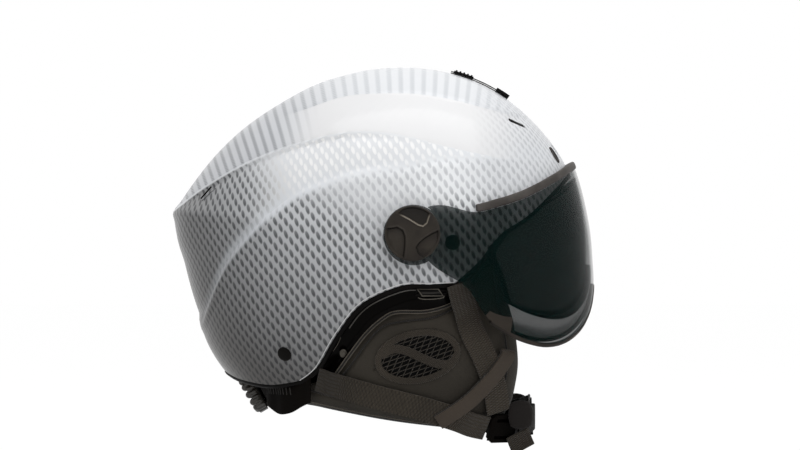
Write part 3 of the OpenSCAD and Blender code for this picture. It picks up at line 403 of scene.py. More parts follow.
def closed_wall(name, outside, inside):
    """Two open sheets joined into one piece by a band between their rims."""
    piece = joined(name, [outside, inside])
    with editing(piece):
        bpy.ops.mesh.select_mode(type="EDGE")
        bpy.ops.mesh.select_all(action="DESELECT")
        bpy.ops.mesh.select_non_manifold(extend=False, use_wire=False, use_boundary=True,
                                         use_multi_face=False, use_non_contiguous=False, use_verts=False)
        bpy.ops.mesh.bridge_edge_loops()
    return outwards(piece)


def hoop(name, around, across, place, angle=50):
    """A closed ring: place(k, b) for its section k and corner b of its section."""
    piece = started(bpy.ops.mesh.primitive_torus_add, name,
                    major_segments=around, minor_segments=across, major_radius=2, minor_radius=1)

    def at(c):
        a = math.atan2(c.y, c.x) / math.tau % 1
        b = math.atan2(c.z, math.hypot(c.x, c.y) - 2) / math.tau % 1
        return place(round(a * around) % around, round(b * across) % across)
    return smoothed(outwards(placed(piece, at)), angle)


def rod(name, steps, sides, place):
    """A closed bar: place(k, b) for its section k, from 0 to steps, and corner b of its section."""
    piece = started(bpy.ops.mesh.primitive_cylinder_add, name, vertices=sides, radius=1, depth=2)
    heights = [vertex.co.z for vertex in piece.data.vertices]
    edit_some(piece, "EDGE", lambda edge: abs(heights[edge.vertices[0]] - heights[edge.vertices[1]]) > 1,
              lambda: bpy.ops.mesh.subdivide(number_cuts=steps - 1))

    def at(c):
        return place(round((c.z + 1) / 2 * steps), round(math.atan2(c.y, c.x) / math.tau * sides) % sides)
    return smoothed(outwards(placed(piece, at)), 50)


def section(half, low, high, count, power=4):
    """A flat bar's section with round corners, as [sideways, outwards] points."""
    def bent(x):
        return math.copysign(abs(x) ** (2 / power), x)
    middle, rise = (low + high) / 2, (high - low) / 2
    turns = [math.tau * k / count for k in range(count)]
    return [(half * bent(math.cos(turn)), middle + rise * bent(math.sin(turn))) for turn in turns]


def sideways(path, outward, closed=False):
    """The direction across a path at each of its points."""
    before, after = (path[-1:], path[:1]) if closed else (path[:1], path[-1:])
    longer = before + path + after
    return [(longer[i + 2] - longer[i]).cross(out).normalized() for i, out in enumerate(outward)]


def tracked(name, path, outward, outlines, closed=False, left=False):
    """A bar or hoop that follows a path, with the outline of its section at each of the path's points."""
    sides = sideways(path, outward, closed)

    def place(i, k):
        p = outlines[i][k]
        return mirrored(path[i] + p[0] * sides[i] + p[1] * outward[i], left)
    if closed:
        return hoop(name, len(path), len(outlines[0]), place)
    return rod(name, len(path) - 1, len(outlines[0]), place)


def cable(name, path, radius, closed=False, left=False):
    """A round piping or thread along a path."""
    curve = bpy.data.curves.new(name, "CURVE")
    curve.dimensions = "3D"
    curve.bevel_depth = radius * MM
    curve.bevel_resolution = 3
    curve.use_fill_caps = True
    spline = curve.splines.new("POLY")
    spline.points.add(len(path) - 1)
    for point, p in zip(spline.points, path):
        point.co = (*(mirrored(p, left) * MM), 1)
    spline.use_cyclic_u = closed
    piece = bpy.data.objects.new(name, curve)
    bpy.context.collection.objects.link(piece)
    only(piece)
    bpy.ops.object.convert(target="MESH")
    return smoothed(bpy.context.object, 60)


def puff(name, around, rings, place, left=False):
    """A closed soft form from a ball: place(turn, share, front), with share 1 at its seam."""
    piece = started(bpy.ops.mesh.primitive_uv_sphere_add, name, segments=around, ring_count=rings, radius=1)
    placed(piece, lambda c: mirrored(
        place(math.atan2(c.y, c.x) / math.tau % 1, min(math.hypot(c.x, c.y), 1), c.z), left))
    return smoothed(outwards(piece), 60)


def brick(name, cuts, place, left=False):
    """A closed soft form from a cut cube: place(a, b, c), each from -1 to 1, with c through its thickness."""
    piece = started(bpy.ops.mesh.primitive_cube_add, name, size=2)
    with editing(piece):
        bpy.ops.mesh.subdivide(number_cuts=cuts)
    placed(piece, lambda c: mirrored(place(*c), left))
    return smoothed(outwards(piece), 60)


def joined(name, pieces):
    only(pieces[0])
    for piece in pieces:
        piece.select_set(True)
    bpy.ops.object.join()
    return named(name)


def cut_by(piece, cutter, operation="DIFFERENCE"):
    modified(piece, "BOOLEAN", object=cutter, operation=operation, solver="EXACT")
    bpy.data.objects.remove(cutter)
    return piece


def disc(name, radius, height, foot, matrix, sides, bevel=0.0):
    """A flat round piece, standing on foot along the matrix's Z."""
    piece = started(bpy.ops.mesh.primitive_cylinder_add, name, vertices=sides, radius=radius, depth=height)
    if bevel:
        beveled(piece, bevel, 3)
    placed(piece, lambda c: matrix @ (c + Vector((0, 0, foot + height / 2))))
    return smoothed(outwards(piece), 40)


def dressed(name, bevel):
    """A copy of a CAD node, merged, with its edges softened, that stands for the node."""
    piece = nodes[name].copy()
    piece.data = piece.data.copy()
    bpy.context.collection.objects.link(piece)
    piece.parent = None
    for key in list(piece.keys()):
        if key.startswith("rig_"):
            del piece[key]
    piece.name = name + "_finish"
    piece.data.name = piece.name
    with editing(piece):
        bpy.ops.mesh.remove_doubles(threshold=0.00002)
        bpy.ops.mesh.dissolve_limited(angle_limit=math.radians(2))
    return smoothed(beveled(piece, bevel * MM, angle=35, use_clamp_overlap=True))


# ---- materials ----
class Value:
    """What a node puts out, for sums with other values and numbers."""

    def __init__(self, wires, socket):
        self.wires, self.socket = wires, socket

    def __add__(self, other):
        return self.wires.math("ADD", self, other)

    def __sub__(self, other):
        return self.wires.math("SUBTRACT", self, other)

    def __rsub__(self, other):
        return self.wires.math("SUBTRACT", other, self)

    def __mul__(self, other):
        return self.wires.math("MULTIPLY", self, other)

    def __truediv__(self, other):
        return self.wires.math("DIVIDE", self, other)

    def __rtruediv__(self, other):
        return self.wires.math("DIVIDE", other, self)


def rgba(colour):
    """A colour written as it shows on screen, from 0 to 255, turned into a light value."""
    return tuple(
        (c / 255 / 12.92) if c <= 10 else (((c / 255) + 0.055) / 1.055) ** 2.4 for c in colour) + (1.0,)


class Wires:
    """Adds nodes to a node tree and joins them."""

    def __init__(self, tree):
        self.tree = tree

    def put(self, value, socket):
        if isinstance(value, Value):
            self.tree.links.new(value.socket, socket)
        elif value is not None:
            socket.default_value = value

    def node(self, kind, *inputs, **settings):
        made = self.tree.nodes.new("ShaderNode" + kind)
        for key, value in settings.items():
            setattr(made, key, value)
        for value, socket in zip(inputs, made.inputs):
            self.put(value, socket)
        return [Value(self, socket) for socket in made.outputs]

    def group(self, group, vector, **values):
        made = self.tree.nodes.new("ShaderNodeGroup")
        made.node_tree = group
        self.put(vector, made.inputs[0])
        for title, value in values.items():
            made.inputs[title].default_value = value
        return [Value(self, socket) for socket in made.outputs]

    def math(self, operation, *inputs, clamp=False):
        return self.node("Math", *inputs, operation=operation, use_clamp=clamp)[0]

    def step(self, value, low, high):
        return self.node("MapRange", value, low, high, 0.0, 1.0, interpolation_type="SMOOTHSTEP")[0]

    def tint(self, share, low, high):
        """From one colour to another; a plain colour is written as it shows on screen."""
        low, high = (c if isinstance(c, Value) else rgba(c) for c in (low, high))
        return self.node("Mix", share, *[None] * 5, low, high, data_type="RGBA")[2]

    def noise(self, vector, scale, detail=2.0):
        return self.node("TexNoise", vector, None, scale, detail)[0]

    def parts(self, vector):
        return self.node("SeparateXYZ", vector)

    def attribute(self, name):
        """The three parts of an attribute of the piece's points."""
        return self.parts(self.node("Attribute", attribute_name=name)[1])


def effect(name, inputs, outputs):
    """An empty shader group with named inputs and outputs."""
    group = bpy.data.node_groups.new(name, "ShaderNodeTree")
    group.interface.new_socket(name="Vector", in_out="INPUT", socket_type="NodeSocketVector")
    for title, value in inputs:
        made = group.interface.new_socket(name=title, in_out="INPUT", socket_type="NodeSocketFloat")
        made.default_value = value
    for title in outputs:
        group.interface.new_socket(name=title, in_out="OUTPUT", socket_type="NodeSocketFloat")
    w = Wires(group)
    entry = [Value(w, socket) for socket in group.nodes.new("NodeGroupInput").outputs]
    return w, entry, group.nodes.new("NodeGroupOutput").inputs


def grain_group():
    """Fine grain of moulded or rubbed surfaces, and slow patches of handling."""
    w, given, out = effect("surface_grain", [("Scale", 900.0)], ["Height", "Patches"])
    w.put(w.noise(given[0], given[1], 3.0), out[0])
    w.put(w.step(w.noise(given[0], given[1] * 0.03, 3.0), 0.35, 0.65), out[1])
    return w.tree


def cloth_group():
    """Threads over and under each other, in metres of the given vector."""
    w, (vector, pitch, *_), out = effect("woven_threads", [("Pitch", 0.0008)], ["Height", "Thread"])
    x, y, _ = w.parts(w.node("VectorMath", vector, None, None, 6.2832 / pitch, operation="SCALE")[0])
    height = w.math("SINE", x) * w.math("SINE", y) * 0.5 + 0.5
    w.put(height, out[0])
    w.put(w.noise(vector, 700.0, 3.0) * 0.5 + height * 0.5, out[1])
    return w.tree


def print_group():
    """Carbon print: rows of dark slanted tow ends on bright cloth, laid out on the shell's chart. Each tow
    end is painted paler towards its upper end, as light from above would make it.
    """
    w, (vector, half_length, half_width, *_), out = effect(
        "carbon_print", [("Half length", 0.0041), ("Half width", 0.0016)], ["Mark", "Tow", "Stripe"])
    first, second = (0.0037, -0.0044), (0.0037, 0.0041)
    area = first[0] * second[1] - first[1] * second[0]
    x, y, _ = w.parts(vector)

    def share(p, q):
        return w.math("FRACT", x * p + y * q + 0.5) - 0.5
    a = share(second[1] / area, -second[0] / area)
    b = share(-first[1] / area, first[0] / area)
    across = a * first[0] + b * second[0]
    down = a * first[1] + b * second[1]
    lean = 0.36
    side = (across + down * lean) / half_width
    rise = (down - across * lean) / half_length
    far = w.math("SQRT", side * side + rise * rise)
    # Painted light: each tow end pales towards its upper end.
    top_lit_fade = w.math("MULTIPLY_ADD", rise, -0.24, 0.94, clamp=True)
    w.put((1.0 - w.step(far, 0.5, 1.1)) * top_lit_fade, out[0])
    w.put(w.math("COSINE", a * math.tau) * 0.5 + 0.5, out[1])
    rungs = w.math("COSINE", (x * 0.5 + y) * 3900.0) * 0.25 + 0.75
    w.put(w.step(w.math("COSINE", x * (y * -4.0 + 1.4) * 816.0), -0.3, 1.0) * rungs, out[2])
    return w.tree


GRAIN, CLOTH, PRINT = grain_group(), cloth_group(), print_group()


def blank(name):
    """A new material, its wires and the places to read a pattern from: its UV map and the object's own."""
    material = bpy.data.materials.new(name)
    material.use_nodes = True
    w = Wires(material.node_tree)
    return (material, w) + tuple(w.node("TexCoord")[2:4])


def painted(material, w, colour, rough, level, height=None, depth=0.0, strength=1.0, **more):
    """Joins a colour, a roughness, a relief and what else the surface has to the material's shader."""
    into = w.tree.nodes["Principled BSDF"].inputs
    w.put(colour, into["Base Color"])
    w.put(rough, into["Roughness"])
    into["Specular IOR Level"].default_value = level
    if height:
        w.put(w.node("Bump", strength, depth, None, height)[0], into["Normal"])
    for title, value in more.items():
        w.put(value, into[title.replace("_", " ")])
    return material


def plain_finish(name, dark, light, rough, grain=(900.0, 0.00003), level=0.12):
    """A moulded, rubber or metal finish with grain in its bump and handling in its colour and gloss."""
    material, w, _, where = blank(name)
    fine, patches = w.group(GRAIN, where, Scale=grain[0])
    return painted(material, w, w.tint(patches, dark, light), patches * 0.1 + rough, level, fine, grain[1])


def cloth_finish(name, dark, light, pitch, depth, rough=0.9, uv=False, sheen=0.15, stretch=1.0):
    """Woven or knitted cloth, on the piece's own UV map where it has one in metres."""
    material, w, chart, where = blank(name)
    if uv:
        where = chart
    else:
        where = w.node("Mapping", where, None, (math.radians(90), 0, math.radians(8)))[0]
    if stretch != 1.0:
        where = w.node("Mapping", where, None, None, (stretch, 1.0, 1.0))[0]
    threads, tone = w.group(CLOTH, where, Pitch=pitch)
    worn = w.group(GRAIN, where, Scale=500.0)[1]
    return painted(material, w, w.tint(worn * 0.3 + tone * 0.7, dark, light), worn * -0.08 + rough, 0.25,
                   threads, depth, Sheen_Weight=sheen, Sheen_Roughness=0.5)


def shell_finish():
    """Silver print under clear coat. The creases' heights over each point part the crown strip, the smooth
    panel under it, the channel and the side. Painted shade darkens the side down to the nape and towards
    the rear; painted highlights pale the smooth panel, the channel's tows, its lip and step, and the crown
    strip's front."""
    material, w, chart, where = blank("carbon_print_clearcoat")
    mark, tow, _ = w.group(PRINT, chart)
    x, _, z = w.parts(where)
    stripe = w.group(PRINT, w.node("CombineXYZ", x, z, 0.0)[0])[2]
    crown, upper, lower = w.attribute("crease_heights")

    # Painted shade: the side's colours darken down towards the nape, and more towards the rear.
    height = z * 0.9 + x * 0.45
    painted_light_share = w.node("MapRange", height, -0.14, -0.03, 0.0, 1.0)[0]
    painted_light_share = painted_light_share * (1.0 - w.step(x, -0.085, -0.165) * 0.62)
    # Painted highlight high on the side: the cloth turns near white behind the brow and the marks pale there,
    # though not low at the front.
    ahead = w.step(x, 0.02, 0.06)
    field = w.tint(w.step(height, -0.03, 0.035), w.tint(painted_light_share, (60, 56, 52), (204, 206, 209)),
                   w.tint(ahead, (246, 248, 250), (222, 224, 227)))
    low = w.step(x, 0.006, 0.03) * (1.0 - w.step(z, 0.012, 0.034))
    marks = w.tint(w.step(height, -0.022, 0.012) * (1.0 - low), w.tint(painted_light_share, (2, 2, 2), (96, 98, 101)),
                   w.tint(ahead, (208, 210, 214), (190, 192, 196)))
    side = w.tint(mark, field, marks)

    # Painted highlight over the channel's rear: its cloth near white and its tows white.
    under_lip = 1.0 - w.step(upper, -0.0008, 0.0004)
    channel_highlight = under_lip * w.step(lower, -0.002, 0.004) * w.step(x, -0.115, -0.07)
    side = w.tint(channel_highlight, side, w.tint(mark, (232, 234, 237), (255, 255, 255)))
    # Painted highlight: a pale band along the channel's lower step.
    lower_step_highlight = w.step(lower, -0.003, 0.001) * (1.0 - w.step(lower, 0.002, 0.015))
    lower_step_highlight = lower_step_highlight * (0.62 - w.step(x, -0.1, -0.02) * 0.4) * w.step(height, -0.13, -0.05)
    side = w.tint(lower_step_highlight, side, (222, 226, 231))

    # The crown strip's printed stripes grow paler towards the front under painted highlight, and the smooth
    # panel under the strip is painted near white as a highlight, save at the rear.
    forward = w.step(x, -0.115, -0.03)
    stripes = w.tint(stripe, w.tint(forward, (208, 210, 214), (232, 234, 237)),
                     w.tint(forward, (138, 140, 145), (205, 208, 212)))
    strip = w.step(crown, -0.0004, 0.0006)
    top = w.tint(w.math("MAXIMUM", strip, 1.0 - w.step(x, -0.09, -0.06)), (235, 235, 236), stripes)
    on_top = w.math("MAXIMUM", 1.0 - under_lip, strip) * (1.0 - w.step(x, 0.035, 0.085))
    # Painted highlight: a thin pale line along the channel's upper lip.
    lip = (1.0 - w.step(w.math("ABSOLUTE", upper), 0.0002, 0.0013)) * 0.75 * (1.0 - w.step(x, -0.02, 0.02))
    colour = w.tint(lip, w.tint(on_top, side, top), (240, 242, 245))
    patches = w.group(GRAIN, where, Scale=300.0)[1]
    return painted(material, w, colour, patches * 0.06 + 0.4, 0.2, tow, 0.00004,
                   Coat_Weight=0.35, Coat_Roughness=0.1, Coat_IOR=1.4)


def lens_finish(name, colour, front_alpha, side_alpha, low_share, rough=0.05, level=0.05):
    """Smoke sheet, denser at the sides: what lies behind shows through it darkened, with a faint gloss."""
    material, w, chart, where = blank(name)
    patches = w.group(GRAIN, where, Scale=260.0)[1]
    beside = w.step(w.math("ABSOLUTE", w.parts(where)[1]), 0.094, 0.103)
    alpha = beside * (side_alpha - front_alpha) + front_alpha
    low = (1.0 - beside) * (1.0 - w.step(w.parts(chart)[1], 0.05, 0.09))
    tone = w.tint(patches, colour, [c * 1.08 for c in colour])
    return painted(material, w, tone, patches * 0.03 + rough, level,
                   Alpha=patches * 0.01 + (low * low_share + alpha))


def knob_finish():
    """Satin plastic, with painted shade inside the upper recess, painted shadow lines along the other two
    recesses' edges and a painted highlight along the grip's upper edge.
    """
    material, w, _, where = blank("knob_satin")
    fine, patches = w.group(GRAIN, where, Scale=2200.0)
    recess, edge, shadow_line = w.attribute("recess")
    colour = w.tint(patches, (36, 31, 27), (49, 44, 38))
    # Painted shade in the upper recess, painted shadow lines and a painted highlight.
    for share, tone in ((recess * 0.85, (24, 21, 18)), (shadow_line * 0.8, (12, 10, 8)), (edge, (140, 132, 120))):
        colour = w.tint(share, colour, tone)
    return painted(material, w, colour, patches * 0.1 + 0.4, 0.16, fine, 0.00006)


def foam_finish():
    """Expanded foam: a skin of small pressed beads."""
    material, w, _, where = blank("expanded_foam")
    beads = w.node("TexVoronoi", where, None, 260.0)[0]
    tone = w.step(beads, 0.1, 0.7)
    return painted(material, w, w.tint(tone, (34, 34, 35), (16, 16, 17)), tone * 0.15 + 0.7, 0.5,
                   1.0 - beads, 0.0004, 0.6)


FINISH = {
    "shell": shell_finish(),
    "edge_trim": plain_finish("edge_rubber", (6, 5, 5), (14, 12, 11), 0.42, level=0.05),
    "lower_shell": plain_finish("gloss_black", (5, 4, 3), (9, 7, 6), 0.16, (500.0, 0.00001), level=0.03),
    "liner": foam_finish(),
    "comfort_fabric": cloth_finish("brushed_lining", (26, 25, 24), (48, 46, 43), 0.0011, 0.0003),
    "ear_fabric": cloth_finish("ear_pad_fabric", (30, 26, 19), (58, 52, 43), 0.0007, 0.00012, rough=0.75),
    "light_piping": cloth_finish("light_piping", (64, 58, 49), (96, 89, 78), 0.0009, 0.0001, rough=0.5),
    "dark_piping": cloth_finish("dark_piping", (10, 8, 6), (22, 18, 14), 0.0012, 0.0003, rough=0.7),
    "knit": cloth_finish("knit_border", (26, 22, 17), (74, 66, 55), 0.0014, 0.0005),
    "mesh": cloth_finish("spacer_mesh", (32, 28, 21), (66, 58, 47), 0.0012, 0.0004),
    "snap_metal": plain_finish("snap_paint", (84, 80, 73), (106, 101, 93), 0.4),
    "trim_plastic": plain_finish("satin_black", (8, 7, 6), (16, 14, 12), 0.38, level=0.05),
    "outer_lens": lens_finish("smoke_outer_lens", (2, 22, 20), 0.46, 0.54, 0.16),
    "inner_lens": lens_finish("smoke_inner_lens", (2, 14, 12), 0.47, 0.42, 0.0, 0.4, 0.02),
    "seal_rubber": plain_finish("seal_rubber", (60, 56, 53), (84, 80, 77), 0.5, (1500.0, 0.00005)),
    "trim_rubber": plain_finish("trim_rubber", (36, 32, 28), (56, 50, 45), 0.4, (1500.0, 0.00005)),
    "trim_end": plain_finish("trim_end", (46, 41, 36), (60, 54, 48), 0.5),
    "neck_sheet": plain_finish("neck_dark_sheet", (8, 6, 5), (18, 15, 12), 0.7, level=0.04),
    "gasket_rubber": plain_finish("gasket_rubber", (6, 6, 6), (12, 12, 12), 0.6, level=0.04),
    "pivot_plastic": plain_finish("pivot_grey", (38, 36, 34), (52, 50, 47), 0.45),
    "knob_plastic": knob_finish(),
    "webbing": cloth_finish("webbing", (6, 4, 3), (73, 65, 54), 0.0015, 0.0006, uv=True, stretch=0.3),
    "tape": cloth_finish("binding_tape", (42, 34, 26), (70, 59, 47), 0.0006, 0.0001, uv=True, rough=0.6),
    "piping": cloth_finish("piping", (20, 17, 13), (50, 44, 37), 0.0009, 0.0002, rough=0.5),
    "buckle_plastic": plain_finish("buckle_black", (6, 5, 5), (13, 11, 10), 0.38, level=0.03),
    "vent_plastic": plain_finish("vent_black", (8, 8, 8), (16, 15, 14), 0.45, level=0.05),
    "dial_plastic": plain_finish("dial_gloss", (36, 33, 29), (54, 50, 44), 0.16, level=0.45),
    # A pale finish for the band's bead, whose colour is a painted highlight.
    "bead": plain_finish("highlight_bead_gloss", (70, 68, 64), (96, 94, 90), 0.2),
    "pale_edge": plain_finish("pale_edge", (214, 214, 214), (232, 232, 232), 0.3),
    "chin_webbing": cloth_finish("chin_webbing", (8, 6, 5), (26, 21, 17), 0.0013, 0.0004, uv=True, sheen=0.0),
    "chin_fabric": cloth_finish("chin_pad_fabric", (10, 7, 6), (28, 22, 19), 0.0009, 0.0002, sheen=0.05),
    "divider_plastic": plain_finish("divider_black", (5, 4, 3), (12, 9, 7), 0.6, level=0.03),
}


def dress(piece, finish, body="helmet", stands_for=(), slot=None):
    """Gives a piece its material, the body it rides on and the CAD nodes that it stands for."""
    piece.data.materials.clear()
    piece.data.materials.append(FINISH[finish])
    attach(piece, body)
    if stands_for:
        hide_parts(*stands_for)
    return piece


# ---- camera, stage and light ----
# The photograph is 800 pixels wide and shows the helmet's middle plane at this scale
PIXELS_PER_MM = 1.45


def looked_at(w):
    """1 for what the camera sees, also in a gloss or through a clear piece, and 0 for what only lights."""
    rays = w.tree.nodes.new("ShaderNodeLightPath").outputs
    kinds = "Camera", "Glossy", "Transmission"
    seen, glossy, through = (Value(w, rays[f"Is {kind} Ray"]) for kind in kinds)
    return w.math("MAXIMUM", seen, w.math("MAXIMUM", glossy, through))


def set_stage():
    sensor, distance = 36, 3.0
    frame_width = 0.8 / PIXELS_PER_MM
    bpy.ops.object.camera_add(location=(-0.00828, -distance, 0.00552), rotation=(math.radians(90), 0, 0))
    camera = named("view_camera")
    camera.data.sensor_width = sensor
    camera.data.lens = sensor * distance / frame_width
    bpy.context.scene.camera = camera

    bpy.ops.mesh.primitive_plane_add(size=12, location=(0, 0, -0.158))
    floor = named("floor")
    material = bpy.data.materials.new("pale_floor")
    material.use_nodes = True
    w = Wires(material.node_tree)
    seen = looked_at(w)
    white = w.node("Emission", (1.0, 1.0, 1.0, 1.0), 1.03)[0]
    pale = w.node("BsdfDiffuse", (0.8, 0.8, 0.8, 1.0))[0]
    w.put(w.node("MixShader", seen * 0.96, pale, white)[0], w.tree.nodes["Material Output"].inputs[0])
    floor.data.materials.append(material)

    world = bpy.data.worlds.new("studio")
    world.use_nodes = True
    bpy.context.scene.world = world
    w = Wires(world.node_tree)
    background = w.tree.nodes["Background"].inputs
    background["Color"].default_value = (1, 1, 1, 1)
    w.put(looked_at(w) * 0.76 + 0.24, background["Strength"])

    for name, place, aim, size, energy in (
            ("softbox_top", (0.1, -0.45, 1.5), (0, 0, 0), (1.8, 1.1), 19.3),
            ("softbox_front", (0.9, -1.9, 1.0), (0.0, 0, 0.02), (1.8, 1.8), 11.8),
            ("softbox_rear", (-1.6, 0.9, 1.2), (0, 0, 0), (1.0, 1.0), 1.5)):
        bpy.ops.object.light_add(type="AREA", location=place)
        lamp = named(name)
        lamp.data.shape = "RECTANGLE"
        lamp.data.size, lamp.data.size_y = size
        lamp.data.energy = energy
        lamp.rotation_euler = (Vector(aim) - Vector(place)).to_track_quat("-Z", "Y").to_euler()
    bpy.context.scene.view_settings.view_transform = "Standard"


set_stage()


# ---- shell ----
PRINT_ROLL, PRINT_SHIFT = 0.55, 3.3


def print_chart(u, v):
    """Where the print lies: side view's own plan low on the sides, rolled out over the crown."""
    xz = shell_plan(u, abs(v) ** DOME_POWER)
    lat, turn = lat_of(SHELL, xz), math.radians(theta_of(xz))
    rolled = HALF_WIDTH * (1 - math.cos(math.radians(lat))) * PRINT_ROLL * (lat / 90) ** 2
    reach = math.hypot(*xz) + rolled
    return reach * math.cos(turn) + (0 if v < 0 else PRINT_SHIFT), reach * math.sin(turn)


def slit_cutter(theta, lat, turn, length, width, low=-9, high=6):
    """A round-cornered block that stands across the shell from low to high."""
    piece = started(bpy.ops.mesh.primitive_cube_add, "slit_cutter", size=1)
    placed(piece, lambda c: Vector((c.x * length, c.y * width, c.z * (high - low) + (low + high) / 2)))
    piece.data.transform(Matrix.Scale(1 / MM, 4))
    beveled(piece, min(width, 4) * 0.42, 4)
    matrix = on_shell(theta, lat) @ Matrix.Rotation(math.radians(turn), 4, "Z")
    return placed(piece, lambda c: matrix @ c)


# Vents as [angle, angle round the side, turn, length, width, shift]
SLITS = ((46.4, 65, 62.6, 15, 3.6, 0), (169, 63.1, 138, 14, 0.9, 0), (28.8, 80, 0, 8.4, 4, -2.8))
BOLTS = ((26.6, -6), (-85.6, -80.9))
CROWN_SLOT_SIDE, CROWN_SLOT_ANGLE, CROWN_SLOT_RADIUS = 6, 65.6, 113
CROWN_SLOT_DEPTH, CROWN_SLOT_WIDTH, CROWN_SLOT_LENGTH = 16, 4, 8.4


def mirror_copy(piece, name):
    """The left side's copy of a piece, with its own mesh."""
    copy = piece.copy()
    copy.data = piece.data.copy()
    bpy.context.collection.objects.link(copy)
    copy.name = name
    return turned_over(copy)


def side_matrix(left):
    """Z points out of the wearer's right or left side, and Y upwards."""
    turn = Matrix.Rotation(math.radians(90), 4, "X")
    return Matrix.Scale(-1, 4, (0, 1, 0)) @ turn if left else turn


def make_shell():
    skin = sheet("outer_shell_skin", 250, 190, lambda a, b: shell_point(SHELL, a, 2 * b - 1, 0, True),
                 lambda a, b: print_chart(a, 2 * b - 1))
    lining = sheet("outer_shell_lining", 62, 48, lambda a, b: shell_point(SHELL, a, 2 * b - 1, SHELL_WALL))
    shell = closed_wall("outer_shell_finish", skin, lining)
    cutters = []
    for theta, lat, turn, length, width, shift in SLITS:
        cutter = slit_cutter(theta, lat, turn, length, width)
        if shift:
            moved = on_shell(theta, lat).to_3x3() @ Vector((shift, 0, 0)) * MM
            cutter.data.transform(Matrix.Translation(moved))
        cutters += [cutter, mirror_copy(cutter, "slit_cutter_left")]
    for xz in BOLTS:
        hole = disc("bolt_hole", 3.2, 16, -8, on_shell(theta_of(xz), lat_of(SHELL, xz)), 32)
        cutters += [hole, mirror_copy(hole, "bolt_hole_left")]
    turn = Matrix.Rotation(math.radians(-CROWN_SLOT_ANGLE), 4, "Y")
    for side in (-CROWN_SLOT_SIDE, CROWN_SLOT_SIDE):
        slot = started(bpy.ops.mesh.primitive_cube_add, "crown_slot_cutter", size=1)
        cutters.append(placed(slot, lambda c: turn @ Vector((
            CROWN_SLOT_RADIUS + CROWN_SLOT_DEPTH * c.x, side + CROWN_SLOT_WIDTH * c.y,
            CROWN_SLOT_LENGTH * c.z))))
    cutters += [disc("stud_hole", 4.1, 20, HALF_WIDTH - 12, side_matrix(left), 48) for left in (False, True)]
    cut_by(shell, joined("shell_cutters", cutters))
    smoothed(shell, 28)
    heights = shell.data.attributes.new("crease_heights", "FLOAT_VECTOR", "POINT")
    for vertex, height in zip(shell.data.vertices, heights.data):
        x, z = vertex.co.x / MM, vertex.co.z / MM
        height.vector = [(z - smooth_at(edge, x)) * MM for edge in (CROWN_EDGE, CHANNEL_TOP, CHANNEL_BOTTOM)]
    dress(shell, "shell", stands_for=["outer_shell"])


make_shell()


def make_edge_trim():
    across, around = 96, 44
    loop = [(0, j / around) for j in range(-around, around)]
    loop += [(i / across, 1) for i in range(across)]
    loop += [(1, j / around) for j in range(around, -around, -1)]
    loop += [(i / across, -1) for i in range(across, 0, -1)]
    path = [shell_point(SHELL, u, v) for u, v in loop]
    outward = [(p - shell_point(SHELL, u, v, SHELL_WALL)).normalized() for p, (u, v) in zip(path, loop)]
    outline = [(p[0] + EDGE_GAP + TRIM_WIDTH / 2, p[1])
               for p in section(TRIM_WIDTH / 2, -SHELL_WALL, TRIM_PROUD, 14, 3.2)]
    trim = tracked("shell_edge_trim_finish", path, outward, [outline] * len(path), closed=True)
    dress(trim, "edge_trim", stands_for=["shell_edge_trim"])


make_edge_trim()


def make_lower_shell(side, left):
    low = EDGE_GAP + TRIM_WIDTH + 0.3

    def place(a, b):
        return mirrored(over(SHELL, below_rim(a, mix(low, band_width(a), b)), LOWER_DEPTH), left)
    piece = walled(f"lower_shell_{side}_finish", 90, 8, place, LOWER_WALL, bevel=0.35)
    dress(piece, "lower_shell", stands_for=["lower_shell_" + side])


both_sides(make_lower_shell)


# ---- liner and comfort pads ----
def liner_point(u, b, inner, rows, edge_rows):
    """The liner's wall from rim to rim; its first and last rows run over the bands beside the ears."""
    for row, left in ((b * rows, False), (rows - b * rows, True)):
        if row < edge_rows:
            xz = below_rim(u, mix(1, band_width(u) - 1, (edge_rows - row) / edge_rows))
            if inner:
                return mirrored(dome(LINER, theta_of(xz), lat_of(SHELL, xz)), left)
            return mirrored(over(SHELL, xz, BAND_DEPTH), left)
    v = 2 * (b * rows - edge_rows) / (rows - 2 * edge_rows) - 1
    return shell_point(LINER, u, v) if inner else shell_point(SHELL, u, v, LINER_DEPTH)


def make_liner():
    rows, edge_rows = 108, 6
    outside, inside = [
        sheet(name, 64, rows, lambda a, b: liner_point(a, b, inner, rows, edge_rows))
        for name, inner in (("liner_outside", False), ("liner_inside", True))]
    liner = smoothed(closed_wall("eps_liner_finish", outside, inside))
    dress(liner, "liner", stands_for=["eps_liner"])


make_liner()


def bulge(a, b):
    return math.sqrt(max(0, (1 - a ** 4) * (1 - b ** 4)))


def make_liner_pad(node, thetas, lats, cuts, left=False, channels=3):
    """Comfort pad against the liner, with sewn channels across it."""
    lines = [2 * (k + 1) / (channels + 1) - 1 for k in range(channels)]

    def place(a, b, c):
        e = rounded(a, b)
        sewn = 0.8 * max(math.exp(-((a - line) / 0.05) ** 2) for line in lines)
        wall = PAD_RIM + (COMFORT_WALL - PAD_RIM - sewn) * bulge(a, b)
        theta, lat = mix(*thetas, (e[0] + 1) / 2), mix(*lats, (e[1] + 1) / 2)
        return dome(LINER, theta, lat, 2 * LAYER_GAP + (c + 1) / 2 * wall)
    pad = brick(node + "_finish", cuts, place, left)
    dress(pad, "comfort_fabric", stands_for=[node])


make_liner_pad("brow_pad", (24, 44), (40, 140), 30, channels=1)
make_liner_pad("crown_pad", (60, 115), (55, 125), 30)
make_liner_pad("rear_pad", (150, 195), (60, 120), 26)
make_liner_pad("temple_pad_right", (100, 170), (25, 45), 26)
make_liner_pad("temple_pad_left", (100, 170), (25, 45), 26, left=True)


